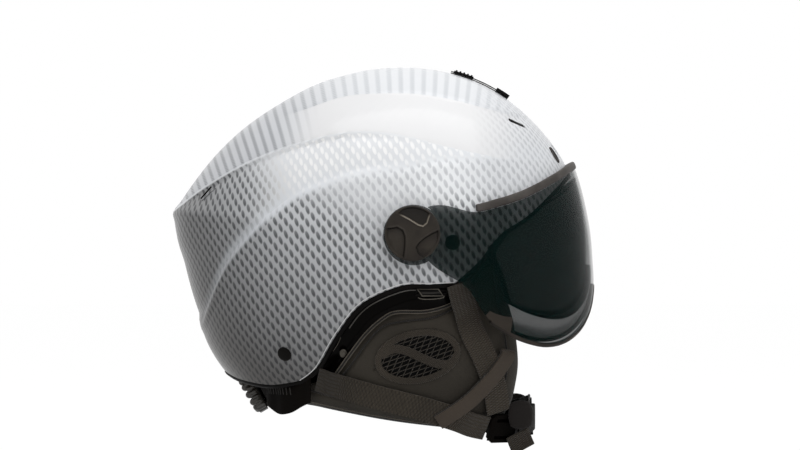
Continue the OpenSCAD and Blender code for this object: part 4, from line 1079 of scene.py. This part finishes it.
# ---- ear pads ----
EAR_MIDDLE = (12, -88)
EAR_OUTLINE = (
    [(-76, -104)] + [below_rim(k / 14, band_width(k / 14) + 0.6) for k in range(14, -1, -1)]
    + [(40, -30), (48, -22), (57, -19.5), (62, -28), (64, -45), (68.5, -61.7), (71.4, -85.5), (69.6, -102.7),
       (65.8, -116.6), (57.6, -126.8), (46, -131.5), (29, -131.5), (5.4, -129), (-18.2, -125.7),
       (-42, -121.4), (-62.4, -117.3), (-75.9, -113.9)])
SEAM_OUTER = [(-52, -96), (-48.1, -90.3), (-41.5, -80.9), (-30.5, -66.6), (-19.4, -56.7), (-10.5, -52.7),
              (9.3, -52.2), (24.9, -47.8), (34, -41)]
SEAM_INNER = [(-50, -99), (-41.5, -88.7), (-30.5, -73.2), (-19.4, -62.1), (-6.1, -58.9), (11.6, -56.7),
              (23.7, -52.2), (33, -46)]
SEAM_LOW = [(-72, -104.5), (-58, -108.7), (-25, -116), (3, -124), (30, -128.5)]
SEAM_FRONT = [(55, -26), (57, -45), (61, -62), (64, -86), (62, -103)]
ROLL_LINE = [(-74.5, -112.6), (-50.3, -118.2), (-20.8, -123.6), (8.7, -128), (28.9, -129)]
ROLL = [(-74, -114), (-50, -119.8), (-20, -125.2), (8, -129.2), (30, -130.2), (44, -130)]
OVAL_MIDDLE, OVAL_LONG, OVAL_SHORT, OVAL_TURN = (3.5, -82.5), 28.5, 16.8, 11


def path_points(points, count):
    return [along(points, k / count) for k in range(count + 1)]


SEWN = [path_points(seam, 60) for seam in (SEAM_INNER, SEAM_LOW, SEAM_FRONT)]


def on_oval(p, q):
    """The place in side view of a point of the mesh's oval, p along it and q across it."""
    turn = math.radians(OVAL_TURN)
    return (OVAL_MIDDLE[0] + p * math.cos(turn) - q * math.sin(turn),
            OVAL_MIDDLE[1] + p * math.sin(turn) + q * math.cos(turn))


def oval_share(x, z):
    """1 on the oval's line, and less inside it."""
    c, s = math.cos(math.radians(OVAL_TURN)), math.sin(math.radians(OVAL_TURN))
    x, z = x - OVAL_MIDDLE[0], z - OVAL_MIDDLE[1]
    return math.hypot((x * c + z * s) / OVAL_LONG, (z * c - x * s) / OVAL_SHORT)


def ear_relief(x, z):
    """How far the pad's face stands out of its plain form: seams press in and the middle is dished."""
    nearest = min(math.hypot(x - p[0], z - p[1]) for seam in SEWN for p in seam)
    sewn = 1.1 * math.exp(-(nearest / 1.1) ** 2) if nearest < 5 else 0
    return -sewn - 0.9 * soft((1.15 - oval_share(x, z)) / 0.25)


# Piping as [name, seam, shift across it, lift off the pad, radius, finish]
PIPING = (
    ("upper", SEAM_OUTER, 0, 0.4, 0.6, "dark_piping"),
    ("upper_high", SEAM_OUTER, 0.95, 0.7, 0.36, "light_piping"),
    ("upper_low", SEAM_OUTER, -0.95, 0.6, 0.36, "light_piping"),
    ("inner", SEAM_INNER, 0, -0.2, 0.5, "dark_piping"),
    ("lower", SEAM_LOW, 0, 0.0, 0.6, "dark_piping"),
    ("front", SEAM_FRONT, 0, 0.0, 0.6, "dark_piping"),
    ("roll_line", ROLL_LINE, 0, -1.2, 0.4, "light_piping"),
    ("roll", ROLL, 0, -5.5, 2.0, "dark_piping"))


def shifted(points, shift, count=70):
    """A line through points in side view, moved across by shift."""
    line = path_points(points, count)
    moved = []
    for i, (x, z) in enumerate(line):
        ahead, behind = line[min(i + 1, count)], line[max(i - 1, 0)]
        dx, dz = ahead[0] - behind[0], ahead[1] - behind[1]
        share = shift / math.hypot(dx, dz)
        moved.append((x - dz * share, z + dx * share))
    return moved


def make_ear_pad(side, left):
    closed = EAR_OUTLINE + EAR_OUTLINE[:1]

    def place(turn, share, front):
        s = share ** 0.8
        x, z = (mix(middle, edge, s) for middle, edge in zip(EAR_MIDDLE, along(closed, turn)))
        drop = EAR_WALL / 2 * (1 - math.sqrt(max(0, 1 - s ** 6)))
        if abs(front) < 1e-4:
            return Vector((x, -ear_face(x, z) + EAR_WALL / 2, z))
        if front > 0:
            return Vector((x, -pad_face(x, z) + drop - ear_relief(x, z) * (1 - s ** 8), z))
        return Vector((x, -ear_face(x, z) + EAR_WALL - drop, z))
    pad = puff(f"ear_pad_{side}_finish", 200, 110, place, left)
    dress(pad, "ear_fabric", stands_for=["ear_pad_" + side])
    for name, seam, shift, lift, radius, finish in PIPING:
        path = [on_pad(xz, lift) for xz in shifted(seam, shift)]
        dress(cable(f"ear_pad_piping_{name}_{side}", path, radius, left=left), finish, slot="ear_fabric")


both_sides(make_ear_pad)


CLIP_FRAME = [(3.3, -37.6), (17.6, -37.6), (20.6, -42.2), (6.6, -42.2)]
# A curved pale line under the clip's frame, a painted highlight.
CLIP_HIGHLIGHT_LINE = [(3.8, -43.4), (7.1, -44.4), (14, -44.4), (20.4, -43.5), (21.4, -42.2)]
REAR_CLIP = [(-51.9, -65.3), (-48.6, -69.7), (-50.5, -75), (-53.6, -79.7)]


def make_ear_cup(side, left):
    """Gloss band between the shell's edge and the pad's piping, a raised bead on it whose pale colour is a
    painted highlight, the clip on it with a painted highlight line under its frame, and a pale line along the
    shell's lower edge.
    """
    seam = SEAM_OUTER[::-1]

    def place(a, b):
        u = mix(0.04, 0.9, a)
        top, low = below_rim(u, band_width(u) - 1.2), along(seam, a)
        x, z = mix(top[0], low[0], b), mix(top[1], low[1], b)
        band, pad = over(SHELL, (x, z), LOWER_DEPTH), on_pad((x, z), 0.5)
        return mirrored(Vector((x, mix(band.y, pad.y, soft(b)), z)), left)
    dress(walled("ear_cup_" + side, 70, 10, place, 0.5), "lower_shell")
    # A raised bead along the band; its pale colour is a painted highlight.
    line = [over(SHELL, below_rim(mix(0.24, 0.62, k / 60), 4.7), LOWER_DEPTH - 0.6) for k in range(61)]
    dress(cable("lower_shell_bead_" + side, line, 0.5, left=left), "bead", slot="lower_shell")
    # The clip's frame, the painted highlight line under it and the rear clip.
    for name, plan, radius, closed in (("clip_frame", CLIP_FRAME, 0.5, True),
                                       ("clip_highlight_line", path_points(CLIP_HIGHLIGHT_LINE, 24), 0.35, False),
                                       ("rear_clip", path_points(REAR_CLIP, 24), 0.25, False)):
        points = [over(SHELL, xz, LOWER_DEPTH - 1.6) for xz in plan]
        dress(cable(f"{name}_{side}", points, radius, closed, left), "snap_metal", slot="lower_shell")

    def plate(a, b):
        top, low = CLIP_FRAME[:2], CLIP_FRAME[:1:-1]
        xz = [mix(mix(top[0][k], top[1][k], a), mix(low[0][k], low[1][k], a), b) for k in (0, 1)]
        return mirrored(over(SHELL, xz, LOWER_DEPTH - 1.0), left)
    dress(walled("clip_plate_" + side, 8, 4, plate, 0.3), "pivot_plastic", slot="lower_shell")
    # A pale line along the shell's lower edge.
    edge = [shell_point(SHELL, k / 120, -0.9965, -0.1) for k in range(2, 119)]
    dress(cable("shell_bare_edge_" + side, edge, 0.32, left=left), "pale_edge", slot="shell")


both_sides(make_ear_cup)


S_BAND = [(-24, 5.5), (-15, 8.2), (-6, 5), (3, -1.5), (12, -7), (21, -8.5), (26, -4)]


def make_ear_mesh(side, left):
    """Knit border round two leaf-shaped nets that leave an S between them."""
    def round_oval(share, turn):
        angle = math.tau * turn
        return on_oval(OVAL_LONG * share * math.cos(angle), OVAL_SHORT * share * math.sin(angle))

    def knit(name, plan, lift, shape, closed=False):
        path = [on_pad(xz, lift) for xz in plan]
        outward = [pad_normal(p.x, p.z) for p in path]
        piece = tracked(name + side, path, outward, [shape] * len(path), closed, left)
        dress(piece, "knit", slot="ear_fabric")
    knit("ear_mesh_border_", [round_oval(0.94, k / 90) for k in range(90)], 0.2,
         section(2.3, -0.7, 0.6, 12, 3), closed=True)
    knit("ear_mesh_s_band_", [on_oval(*p) for p in path_points(S_BAND, 50)], 0.25,
         section(3.1, -0.6, 0.5, 14, 3))

    net = started(bpy.ops.mesh.primitive_grid_add, f"ear_mesh_{side}_finish",
                  x_subdivisions=30, y_subdivisions=30, size=30)
    for vertex in net.data.vertices:
        x, y, _ = vertex.co
        vertex.co = (x * 5.2 + y * 2.1, x * 0.6 + y * 3.2, 0)

    def outside(face):
        return math.hypot(face.center.x / OVAL_LONG, face.center.y / OVAL_SHORT) > 1
    edit_some(net, "FACE", outside, lambda: bpy.ops.mesh.delete(type="FACE"))
    placed(net, lambda c: on_pad(on_oval(c.x, c.y), -0.3))
    modified(net, "WIREFRAME", thickness=1.05 * MM, use_even_offset=False)
    if left:
        turned_over(net)
    dress(smoothed(outwards(net), 60), "mesh", stands_for=["ear_mesh_" + side])

    proud = Vector() if left else pad_normal(*OVAL_MIDDLE) * 0.06
    dark = puff("ear_mesh_backing_" + side, 48, 8, lambda turn, share, front: mirrored(
        on_pad(round_oval(0.9 * share, turn), -0.8), left) + (proud if front > 0 else Vector()))
    dress(dark, "gasket_rubber", slot="mesh")


both_sides(make_ear_mesh)


# ---- lenses ----
def make_lenses():
    lens = walled("outer_lens_finish", 200, 44,
                  lambda a, b: lens_point(OUTER_LENS, a, b), LENS_WALL, bevel=0.4)
    for left in (False, True):
        tab = disc("lens_tab", TAB_RADIUS - 0.4, LENS_WALL, LENS_INSIDE,
                   side_matrix(left) @ Matrix.Translation((0.7, -1.1, 0)), 96, 0.3)
        cut_by(lens, tab, "UNION")
        cut_by(lens, disc("lens_tab_bore", HUB_RADIUS, 8, LENS_INSIDE - 3, side_matrix(left), 48))
    dress(smoothed(lens), "outer_lens", "visor", ["outer_lens"])
    inner = walled("inner_lens_finish", 130, 48,
                   lambda a, b: window(INNER_LENS, 2 * a - 1, 2 * b - 1, -0.2), INNER_WALL - 0.3)
    dress(inner, "inner_lens", "visor", ["inner_lens"])


make_lenses()


def make_gasket():
    """Frame between the lenses, round the inner lens's outline."""
    count = 220
    loop = []
    for k in range(count):
        side, g = divmod(4 * k / count, 1)
        g = 2 * g - 1
        loop.append(((g, -1), (1, g), (-g, 1), (-1, -g))[int(side)])

    def gasket(k, b):
        edge = loop[k]
        inside = [x * (1 - band) for x, band in zip(edge, GASKET_BAND)]
        corners = (window(INNER_LENS, *inside, -0.25), window(INNER_LENS, *edge, -0.25),
                   window(OUTER_LENS, *edge, LENS_WALL + 0.15), window(OUTER_LENS, *inside, LENS_WALL + 0.15))
        return corners[b // 2].lerp(corners[(b // 2 + 1) % 4], b % 2 / 2)
    dress(hoop("lens_gasket_finish", count, 8, gasket, 40),
          "gasket_rubber", "visor", ["lens_gasket"], "seal_rubber")


make_gasket()


def lens_rim(name, first, last, w, half, low, high, power, overlap=0.0):
    """Rubber along the lens's edge at height w, which tapers at its ends."""
    count = 120
    shares = [mix(first, last, k / count) / 44 for k in range(count + 1)]
    path = [lens_point(OUTER_LENS, u, w) for u in shares]
    out = [(p - lens_point(OUTER_LENS, u, w, LENS_WALL)).normalized() for p, u in zip(path, shares)]
    shape = section(half, low, high, 16, power)
    tapers = (0.82, 0.93, 0.98, 0.995)
    tapers += (1,) * (count + 1 - 2 * len(tapers)) + tapers[::-1]
    middle = EDGE_GAP + half - overlap
    outlines = [[(middle + across * taper, (up - low) * taper + low) for across, up in shape]
                for taper in tapers]
    return tracked(name, path, out, outlines)


dress(lens_rim("brow_seal_finish", 39, 5, 1, SEAL_WIDTH / 2, -LENS_WALL - 0.6, 1.2, 3),
      "seal_rubber", "visor", ["brow_seal"])
dress(lens_rim("lens_edge_trim_finish", 8, 36, 0, EDGE_WIDTH / 2 + 0.3, -LENS_WALL - 0.5, 0.5, 2.6, 1.3),
      "trim_rubber", "visor", ["lens_edge_trim"], "seal_rubber")


def make_trim_end(side, left):
    """Broad start of the lower edge trim, laid on the lens."""
    def place(a, b):
        u = mix(0.166, 0.226, a) - 0.018 * a * b
        return mirrored(lens_point(OUTER_LENS, u, mix(0.05, 0.105, a) * b, -0.35), left)
    dress(walled("lens_trim_end_" + side, 24, 8, place, 0.4, bevel=0.1),
          "trim_end", "visor", slot="seal_rubber")


both_sides(make_trim_end)


# ---- pivots and knobs ----
# Outlines of the knob's three finger recesses, on its face with Y upwards, and their depths
UPPER_RECESS = ((-9.6, 13.4), (-2.5, 9.6), (3.8, 5.7), (6.9, 4.8), (9.3, 6.8), (11.5, 13.5), (0, 22))
REAR_RECESS = ((-14.2, 3.4), (-10.1, 4.1), (-6.5, 2.1), (-4.9, -2.1), (-4.9, -8.2), (-5.7, -15.4), (-12, -22),
               (-22, -8), (-22, 3))
FRONT_RECESS = ((17.7, 2.1), (13.1, 0), (7.9, -3.1), (4.3, -6.2), (2.3, -9.2), (3.8, -13.4), (6.9, -15.9),
                (14, -22), (24, -8))
RECESSES = ((UPPER_RECESS, 1.5, 1.7, 0.5), (REAR_RECESS, 1.9, 0.5, 0.7), (FRONT_RECESS, 1.9, 0.5, 0.7))


def depth_inside(outline, x, y):
    """Distance from a point to an outline, negative outside it."""
    inside, least = False, 1e9
    for (ax, ay), (bx, by) in zip(outline, outline[1:] + outline[:1]):
        if (ay > y) != (by > y) and x < (bx - ax) * (y - ay) / (by - ay) + ax:
            inside = not inside
        dx, dy = bx - ax, by - ay
        f = held(((x - ax) * dx + (y - ay) * dy) / (dx * dx + dy * dy))
        least = min(least, math.hypot(x - ax - f * dx, y - ay - f * dy))
    return least if inside else -least


def knob_height(x, y):
    """Height of the knob's face: a Y-shaped grip between three finger recesses, and a thin rim."""
    r = math.hypot(x, y)
    height = KNOB_HEIGHT - 0.35 - 0.4 * (r / KNOB_RADIUS) ** 2
    rim = soft((KNOB_RADIUS - 1.3 - r) / 0.7)
    for outline, near_depth, far_depth, wall in RECESSES:
        inside = depth_inside(outline, x, y)
        lip = 0.35 * math.exp(-((inside + 0.5) / 0.6) ** 2)
        floor = mix(near_depth, far_depth, soft(inside / 9))
        height += (lip - soft(inside / wall + 0.15) * floor) * rim
    return height


# Shares of the way down the knob where its face ends, its rounded edge ends and its side ends
FACE_END, ROUND_END, SIDE_END = 0.72, 0.8, 0.9


def make_knob(side, left):
    matrix = side_matrix(left)
    face = KNOB_RADIUS - 1.0

    def place(turn, share, front):
        angle = math.tau * turn
        down = math.acos(max(-1, min(1, front))) / math.pi
        if down <= FACE_END:
            r = face * down / FACE_END
            height = knob_height(r * math.cos(angle), r * math.sin(angle))
        elif down <= ROUND_END:
            bend = (down - FACE_END) / (ROUND_END - FACE_END) * math.pi / 2
            r, height = face + math.sin(bend), knob_height(face, 0) - 1 + math.cos(bend)
        elif down <= SIDE_END:
            r, height = KNOB_RADIUS, mix(KNOB_HEIGHT - 1.6, 0, (down - ROUND_END) / (SIDE_END - ROUND_END))
        else:
            r, height = KNOB_RADIUS * (1 - down) / (1 - SIDE_END), 0
        return matrix @ Vector((r * math.cos(angle), r * math.sin(angle), KNOB_FOOT + height))
    knob = puff(f"pivot_knob_{side}_finish", 220, 110, place)
    cut_by(knob, disc("knob_bore", 4.08, 7.4, KNOB_FOOT - 1, matrix, 48))
    smoothed(knob, 40)
    # Shares of painted light on the knob's face: shade inside the upper recess, a highlight along its edge
    # and shadow lines along the other two recesses' edges.
    relief = knob.data.attributes.new("recess", "FLOAT_VECTOR", "POINT")
    for vertex, value in zip(knob.data.vertices, relief.data):
        x, out, y = vertex.co / MM
        if abs(out) <= KNOB_FOOT + 4:
            value.vector = (0, 0, 0)
            continue
        upper = depth_inside(UPPER_RECESS, x, y)
        rest = max(depth_inside(outline, x, y) for outline in (REAR_RECESS, FRONT_RECESS))
        edge = math.exp(-((upper + 0.1) / 0.4) ** 2) * soft((13 - y) / 2)
        value.vector = (soft(upper / 1.2), edge, math.exp(-((rest - 0.2) / 0.5) ** 2))
    dress(knob, "knob_plastic", "knob_" + side, ["pivot_knob_" + side])


both_sides(make_knob)


# ---- straps ----
FRONT_STRAP = [
    (27.4, -33.5), (30.6, -42.5), (34.5, -52), (38.8, -64.9), (45.5, -78.4), (51.2, -92.2), (54.6, -104.5),
    (57, -119.8)]
REAR_STRAP = [
    (-62.5, -97.4), (-54.5, -100.3), (-45, -103), (-21.5, -109.5), (5.4, -116.4), (29, -124), (39.5, -128.2),
    (49, -130.5)]
TAPE = [(62.5, -78.5), (60.8, -83), (53.4, -93.5), (45, -103), (35.7, -112), (24.5, -120), (16.5, -125)]
# How far each lies off the pad, by its share of the way
FRONT_LIFT = [(0, 10.6), (0.08, 8.2), (0.16, 5.4), (0.3, 1.9), (0.44, 0.1), (0.52, 0), (1, 0)]
REAR_LIFT = [(0, 0.2), (0.15, 0.4), (0.3, 0), (1, 0)]
TAPE_LIFT = [(0, 0.6), (0.15, 2.7), (1, 2.7)]


def make_strap(name, path, outward, width, finish, node, left=False, slot=None):
    """Flat webbing along a path: its outer face, a wall behind it and soft edges."""
    count = len(path) - 1
    sides = sideways(path, outward)
    length = sum((q - p).length for p, q in zip(path, path[1:]))

    def place(a, b):
        i = round(a * count)
        across = 2 * b - 1
        crown = 0.12 * (1 - across * across)
        return mirrored(path[i] + sides[i] * across * width / 2 + outward[i] * (WEB_WALL + crown), left)
    piece = walled(name, count, 12, place, WEB_WALL, lambda a, b: (b * width, length * a), bevel=0.35)
    dress(piece, finish, stands_for=[node], slot=slot)


def make_straps(side, left):
    count = 56
    for node, plan, lifts, width, finish in (
            ("front_strap_" + side, FRONT_STRAP, FRONT_LIFT, WEB_WIDTH, "webbing"),
            ("rear_strap_" + side, REAR_STRAP, REAR_LIFT, WEB_WIDTH, "webbing"),
            ("binding_tape_" + side, TAPE, TAPE_LIFT, TAPE_WIDTH, "tape")):
        line = path_points(plan, count)
        path = [on_pad(xz, 0.6 + smooth_at(lifts, k / count)) for k, xz in enumerate(line)]
        outward = [pad_normal(*xz) for xz in line]
        make_strap(node + "_finish", path, outward, width, finish, node, left)
    # The last path is the tape's, and its piping runs along both edges
    for name, edge in (("a", -1), ("b", 1)):
        piping = [p + across * edge * (TAPE_WIDTH / 2 - 0.2) + out * (WEB_WALL * 0.6)
                  for p, across, out in zip(path, sideways(path, outward), outward)]
        dress(cable(f"binding_piping_{name}_{side}", piping, 0.7, left=left), "piping", slot="tape")


both_sides(make_straps)

DIVIDER_MIDDLE = Vector((59.5, -ear_face(59.5, -131), -131))
DIVIDER_OUT = pad_normal(59.5, -131)
DIVIDER_FORWARD = Vector((-DIVIDER_OUT.y, DIVIDER_OUT.x, 0)).normalized()
DIVIDER_UP = DIVIDER_OUT.cross(DIVIDER_FORWARD)


def divider_loop(side, left):
    """Webbing looped through the strap divider."""
    def place(a, b):
        return mirrored(DIVIDER_MIDDLE + mix(-9, 11, a) * DIVIDER_FORWARD + mix(-9.5, 9.5, b) * DIVIDER_UP
                        + 1.2 * DIVIDER_OUT, left)
    dress(walled("divider_loop_" + side, 6, 6, place, 0.8, bevel=0.3), "divider_plastic", slot="webbing")


both_sides(divider_loop)

# Where the chin strap enters the buckle's socket, across the helmet
SOCKET_EDGE = 23.6


def make_tail_and_chin_strap():
    start = DIVIDER_MIDDLE + 10 * DIVIDER_FORWARD - 1.6 * DIVIDER_UP + 4.5 * DIVIDER_OUT
    down = (-DIVIDER_UP + 0.55 * DIVIDER_FORWARD).normalized()
    path = [start + 3.3 * k * down + 0.15 * k * k * DIVIDER_OUT for k in [i / 4 for i in range(17)]]
    make_strap("strap_tail_finish", path, [DIVIDER_OUT] * len(path), WEB_WIDTH, "webbing", "strap_tail")
    start = DIVIDER_MIDDLE + 10.8 * DIVIDER_FORWARD + 1.3 * DIVIDER_OUT
    ys = [mix(start.y, SOCKET_EDGE, k / 60) for k in range(61)]
    path = [start] + [chin_line(y) for y in ys[1:]]
    make_strap("chin_strap_finish", path, [chin_out(y) for y in ys], WEB_WIDTH, "chin_webbing", "chin_strap",
               slot="webbing")


make_tail_and_chin_strap()

CHIN_HALF, CHIN_RISE = 22, 14.5
CHIN_END = Vector((73.2, -63.2, -122.6))


def make_chin_pad():
    def place(a, b, c):
        e = rounded(a, b)
        wall = PAD_RIM + 7.8 * bulge(a, b)
        return chin_line(CHIN_HALF * e[0], -0.5 - (c + 1) / 2 * wall, CHIN_RISE * e[1])
    pad = brick("chin_pad_finish", 26, place)
    dress(pad, "chin_fabric", stands_for=["chin_pad"], slot="comfort_fabric")

    def end(a, b, c):
        e = rounded(a, b)
        forward = 8.4 * e[0]
        return CHIN_END + Vector((forward, 0.35 * forward - 1.3 * c * (1 + bulge(a, b)), 9.6 * e[1]))
    for side, left in SIDES:
        dress(brick("chin_strap_end_" + side, 16, end, left), "chin_fabric", slot="comfort_fabric")
    loop = []
    for k in range(120):
        e = rounded(*(max(-1, min(1, 1.35 * wave(math.tau * k / 120))) for wave in (math.cos, math.sin)))
        loop.append(chin_line(CHIN_HALF * e[0], -PAD_RIM, CHIN_RISE * e[1]))
    dress(cable("chin_pad_piping", loop, 0.7, closed=True), "piping", slot="comfort_fabric")


make_chin_pad()


# ---- nape pad ----
DIAL_FRAME = Matrix.Translation((-100.8, 0, -104.7)) @ Matrix.Rotation(math.radians(-120), 4, "Y")


def make_nape_pad():
    def place(a, b, c):
        e = rounded(a, b)
        lobes = 0.8 + 0.2 * math.cos(3 * math.pi * a)
        wall = PAD_RIM + 8.8 * bulge(a, b) * lobes
        return DIAL_FRAME @ Vector((-7.5 + 15.5 * e[1], 20 * e[0], -LAYER_GAP - (c + 1) / 2 * wall))
    pad = brick("nape_pad_finish", 26, place)
    dress(pad, "comfort_fabric", stands_for=["nape_pad"])


make_nape_pad()

NECK_SHEET_LOW = [
    (-99, -117), (-96.5, -118.8), (-92, -121.8), (-88, -122.6), (-81.6, -121), (-75, -117), (-69, -114)]


def make_neck_dark_sheet(side, left):
    """A near-black sheet between the nape pad and the ear pad, with the rack's teeth on it."""
    def out(a):
        return mix(-42, -76, a)

    def place(a, b):
        x, z = along(NECK_SHEET_LOW, a)
        return mirrored(Vector((x, out(a), mix(z, -97, b))), left)
    dress(walled("neck_flap_" + side, 24, 10, place, 1.2, bevel=0.3), "neck_sheet", slot="comfort_fabric")
    for k in range(9):
        a = 0.12 + 0.065 * k
        top = Vector((along(NECK_SHEET_LOW, a)[0], out(a) - 0.4, -104.2))
        line = cable(f"rack_line_{k}_{side}", [top, top + Vector((0.8, 0, -5))], 0.5, left=left)
        dress(line, "pivot_plastic", slot="trim_plastic")


both_sides(make_neck_dark_sheet)


def make_dial_bumps():
    """Finger bumps on the dial's face."""
    back = DIAL_FRAME.inverted()
    node = nodes["size_dial"]
    top = max((back @ (node.matrix_world @ vertex.co / MM)).z for vertex in node.data.vertices)

    def ring(radius, turn, height):
        return Vector((radius * math.cos(math.tau * turn), radius * math.sin(math.tau * turn), height))
    bumps = []
    for k in range(12):
        middle = ring(11.4, k / 12, top - 0.3)
        bumps.append(puff("dial_bump", 24, 12, lambda turn, share, front: DIAL_FRAME @ (
            middle + ring(2.7 * share, turn, 3 * front))))
    dress(joined("size_dial_bumps", bumps), "dial_plastic", "dial")


make_dial_bumps()


# ---- vents' trim, and painted shade in their openings ----
def make_vent_insides(side, left):
    """Oval trim of the brow vent, with a dark disc inside it that paints the shade of its opening, and a dark
    line of painted shadow along the rear vent's slit.
    """
    half_length, half_height = 5.6, 2.9
    matrix = on_shell(28.8, 73)
    turns = [math.tau * k / 40 for k in range(40)]
    ring = [matrix @ Vector((half_length * math.cos(turn), half_height * math.sin(turn), 0.1))
            for turn in turns]
    trim = cable("brow_vent_trim_" + side, ring, 0.7, closed=True, left=left)
    dress(trim, "seal_rubber", slot="vent_plastic")
    oval = matrix @ Matrix.Diagonal((half_length, half_height, 1, 1))
    # A dark disc that paints the shade of the vent's opening.
    dark = disc("brow_vent_inside_" + side, 1, 0.5, 0, oval, 40)
    dress(turned_over(dark) if left else dark, "vent_plastic")
    # A dark line of painted shadow along the rear vent's slit.
    slit = [over(SHELL, (mix(-136.1, -143.3, k / 6), mix(31.5, 23.4, k / 6)), 0.1) for k in range(7)]
    dress(cable("rear_vent_slit_" + side, slit, 0.55, left=left), "vent_plastic")


both_sides(make_vent_insides)


# ---- pieces that keep their CAD shape, with softened edges ----
def rear_grilles_back(grilles):
    """Lays the rear vents' grilles deeper, so that the slits show as thin lines."""
    for vertex in grilles.data.vertices:
        if vertex.co.x < -0.08:
            vertex.co += Vector((0.0022, -math.copysign(0.001, vertex.co.y), -0.0018))


def snap_in_place(snap):
    """Makes the ear pad's snap narrower and moves it to where it shows."""
    middle = sum(vertex.co.x for vertex in snap.data.vertices) / len(snap.data.vertices)
    for vertex in snap.data.vertices:
        vertex.co.x = mix(middle, vertex.co.x, 0.68) + 0.0012
        vertex.co.z -= 0.0025


# Node, finish, bevel in millimetres and the body it rides on where that isn't the helmet
KEPT_SHAPES = (
    ("strap_bolts", "trim_plastic", 0.25),
    ("pad_clip_right", "trim_plastic", 0.3),
    ("pad_clip_left", "trim_plastic", 0.3),
    ("ear_pad_snap_right", "snap_metal", 0.25),
    ("ear_pad_snap_left", "snap_metal", 0.25),
    ("pivot_stud_right", "pivot_plastic", 0.2),
    ("pivot_stud_left", "pivot_plastic", 0.2),
    ("pivot_washer_right", "gasket_rubber", 0.15),
    ("pivot_washer_left", "gasket_rubber", 0.15),
    ("strap_divider_right", "divider_plastic", 0.8),
    ("strap_divider_left", "divider_plastic", 0.8),
    ("buckle_socket", "buckle_plastic", 0.9),
    ("buckle_plug", "buckle_plastic", 0.5),
    ("buckle_arm_upper", "buckle_plastic", 0.4, "arm_upper"),
    ("buckle_arm_lower", "buckle_plastic", 0.4, "arm_lower"),
    ("vent_frame", "vent_plastic", 0.2),
    ("vent_slider", "vent_plastic", 0.2, "crown_slider"),
    ("vent_grilles", "vent_plastic", 0.2),
    ("adjuster_housing", "trim_plastic", 0.4),
    ("adjuster_cover", "trim_plastic", 0.3),
    ("size_dial", "dial_plastic", 0.35, "dial"),
    ("rack_band_right", "trim_plastic", 0.15, "band_right"),
    ("rack_band_left", "trim_plastic", 0.15, "band_left"))
SHARED_SLOTS = {"gasket_rubber": "seal_rubber", "divider_plastic": "trim_plastic"}

for node, finish, bevel, *body in KEPT_SHAPES:
    piece = dressed(node, bevel)
    if node == "vent_grilles":
        rear_grilles_back(piece)
    if node.startswith("ear_pad_snap"):
        snap_in_place(piece)
    dress(piece, finish, *(body or ["helmet"]), [node], SHARED_SLOTS.get(finish))
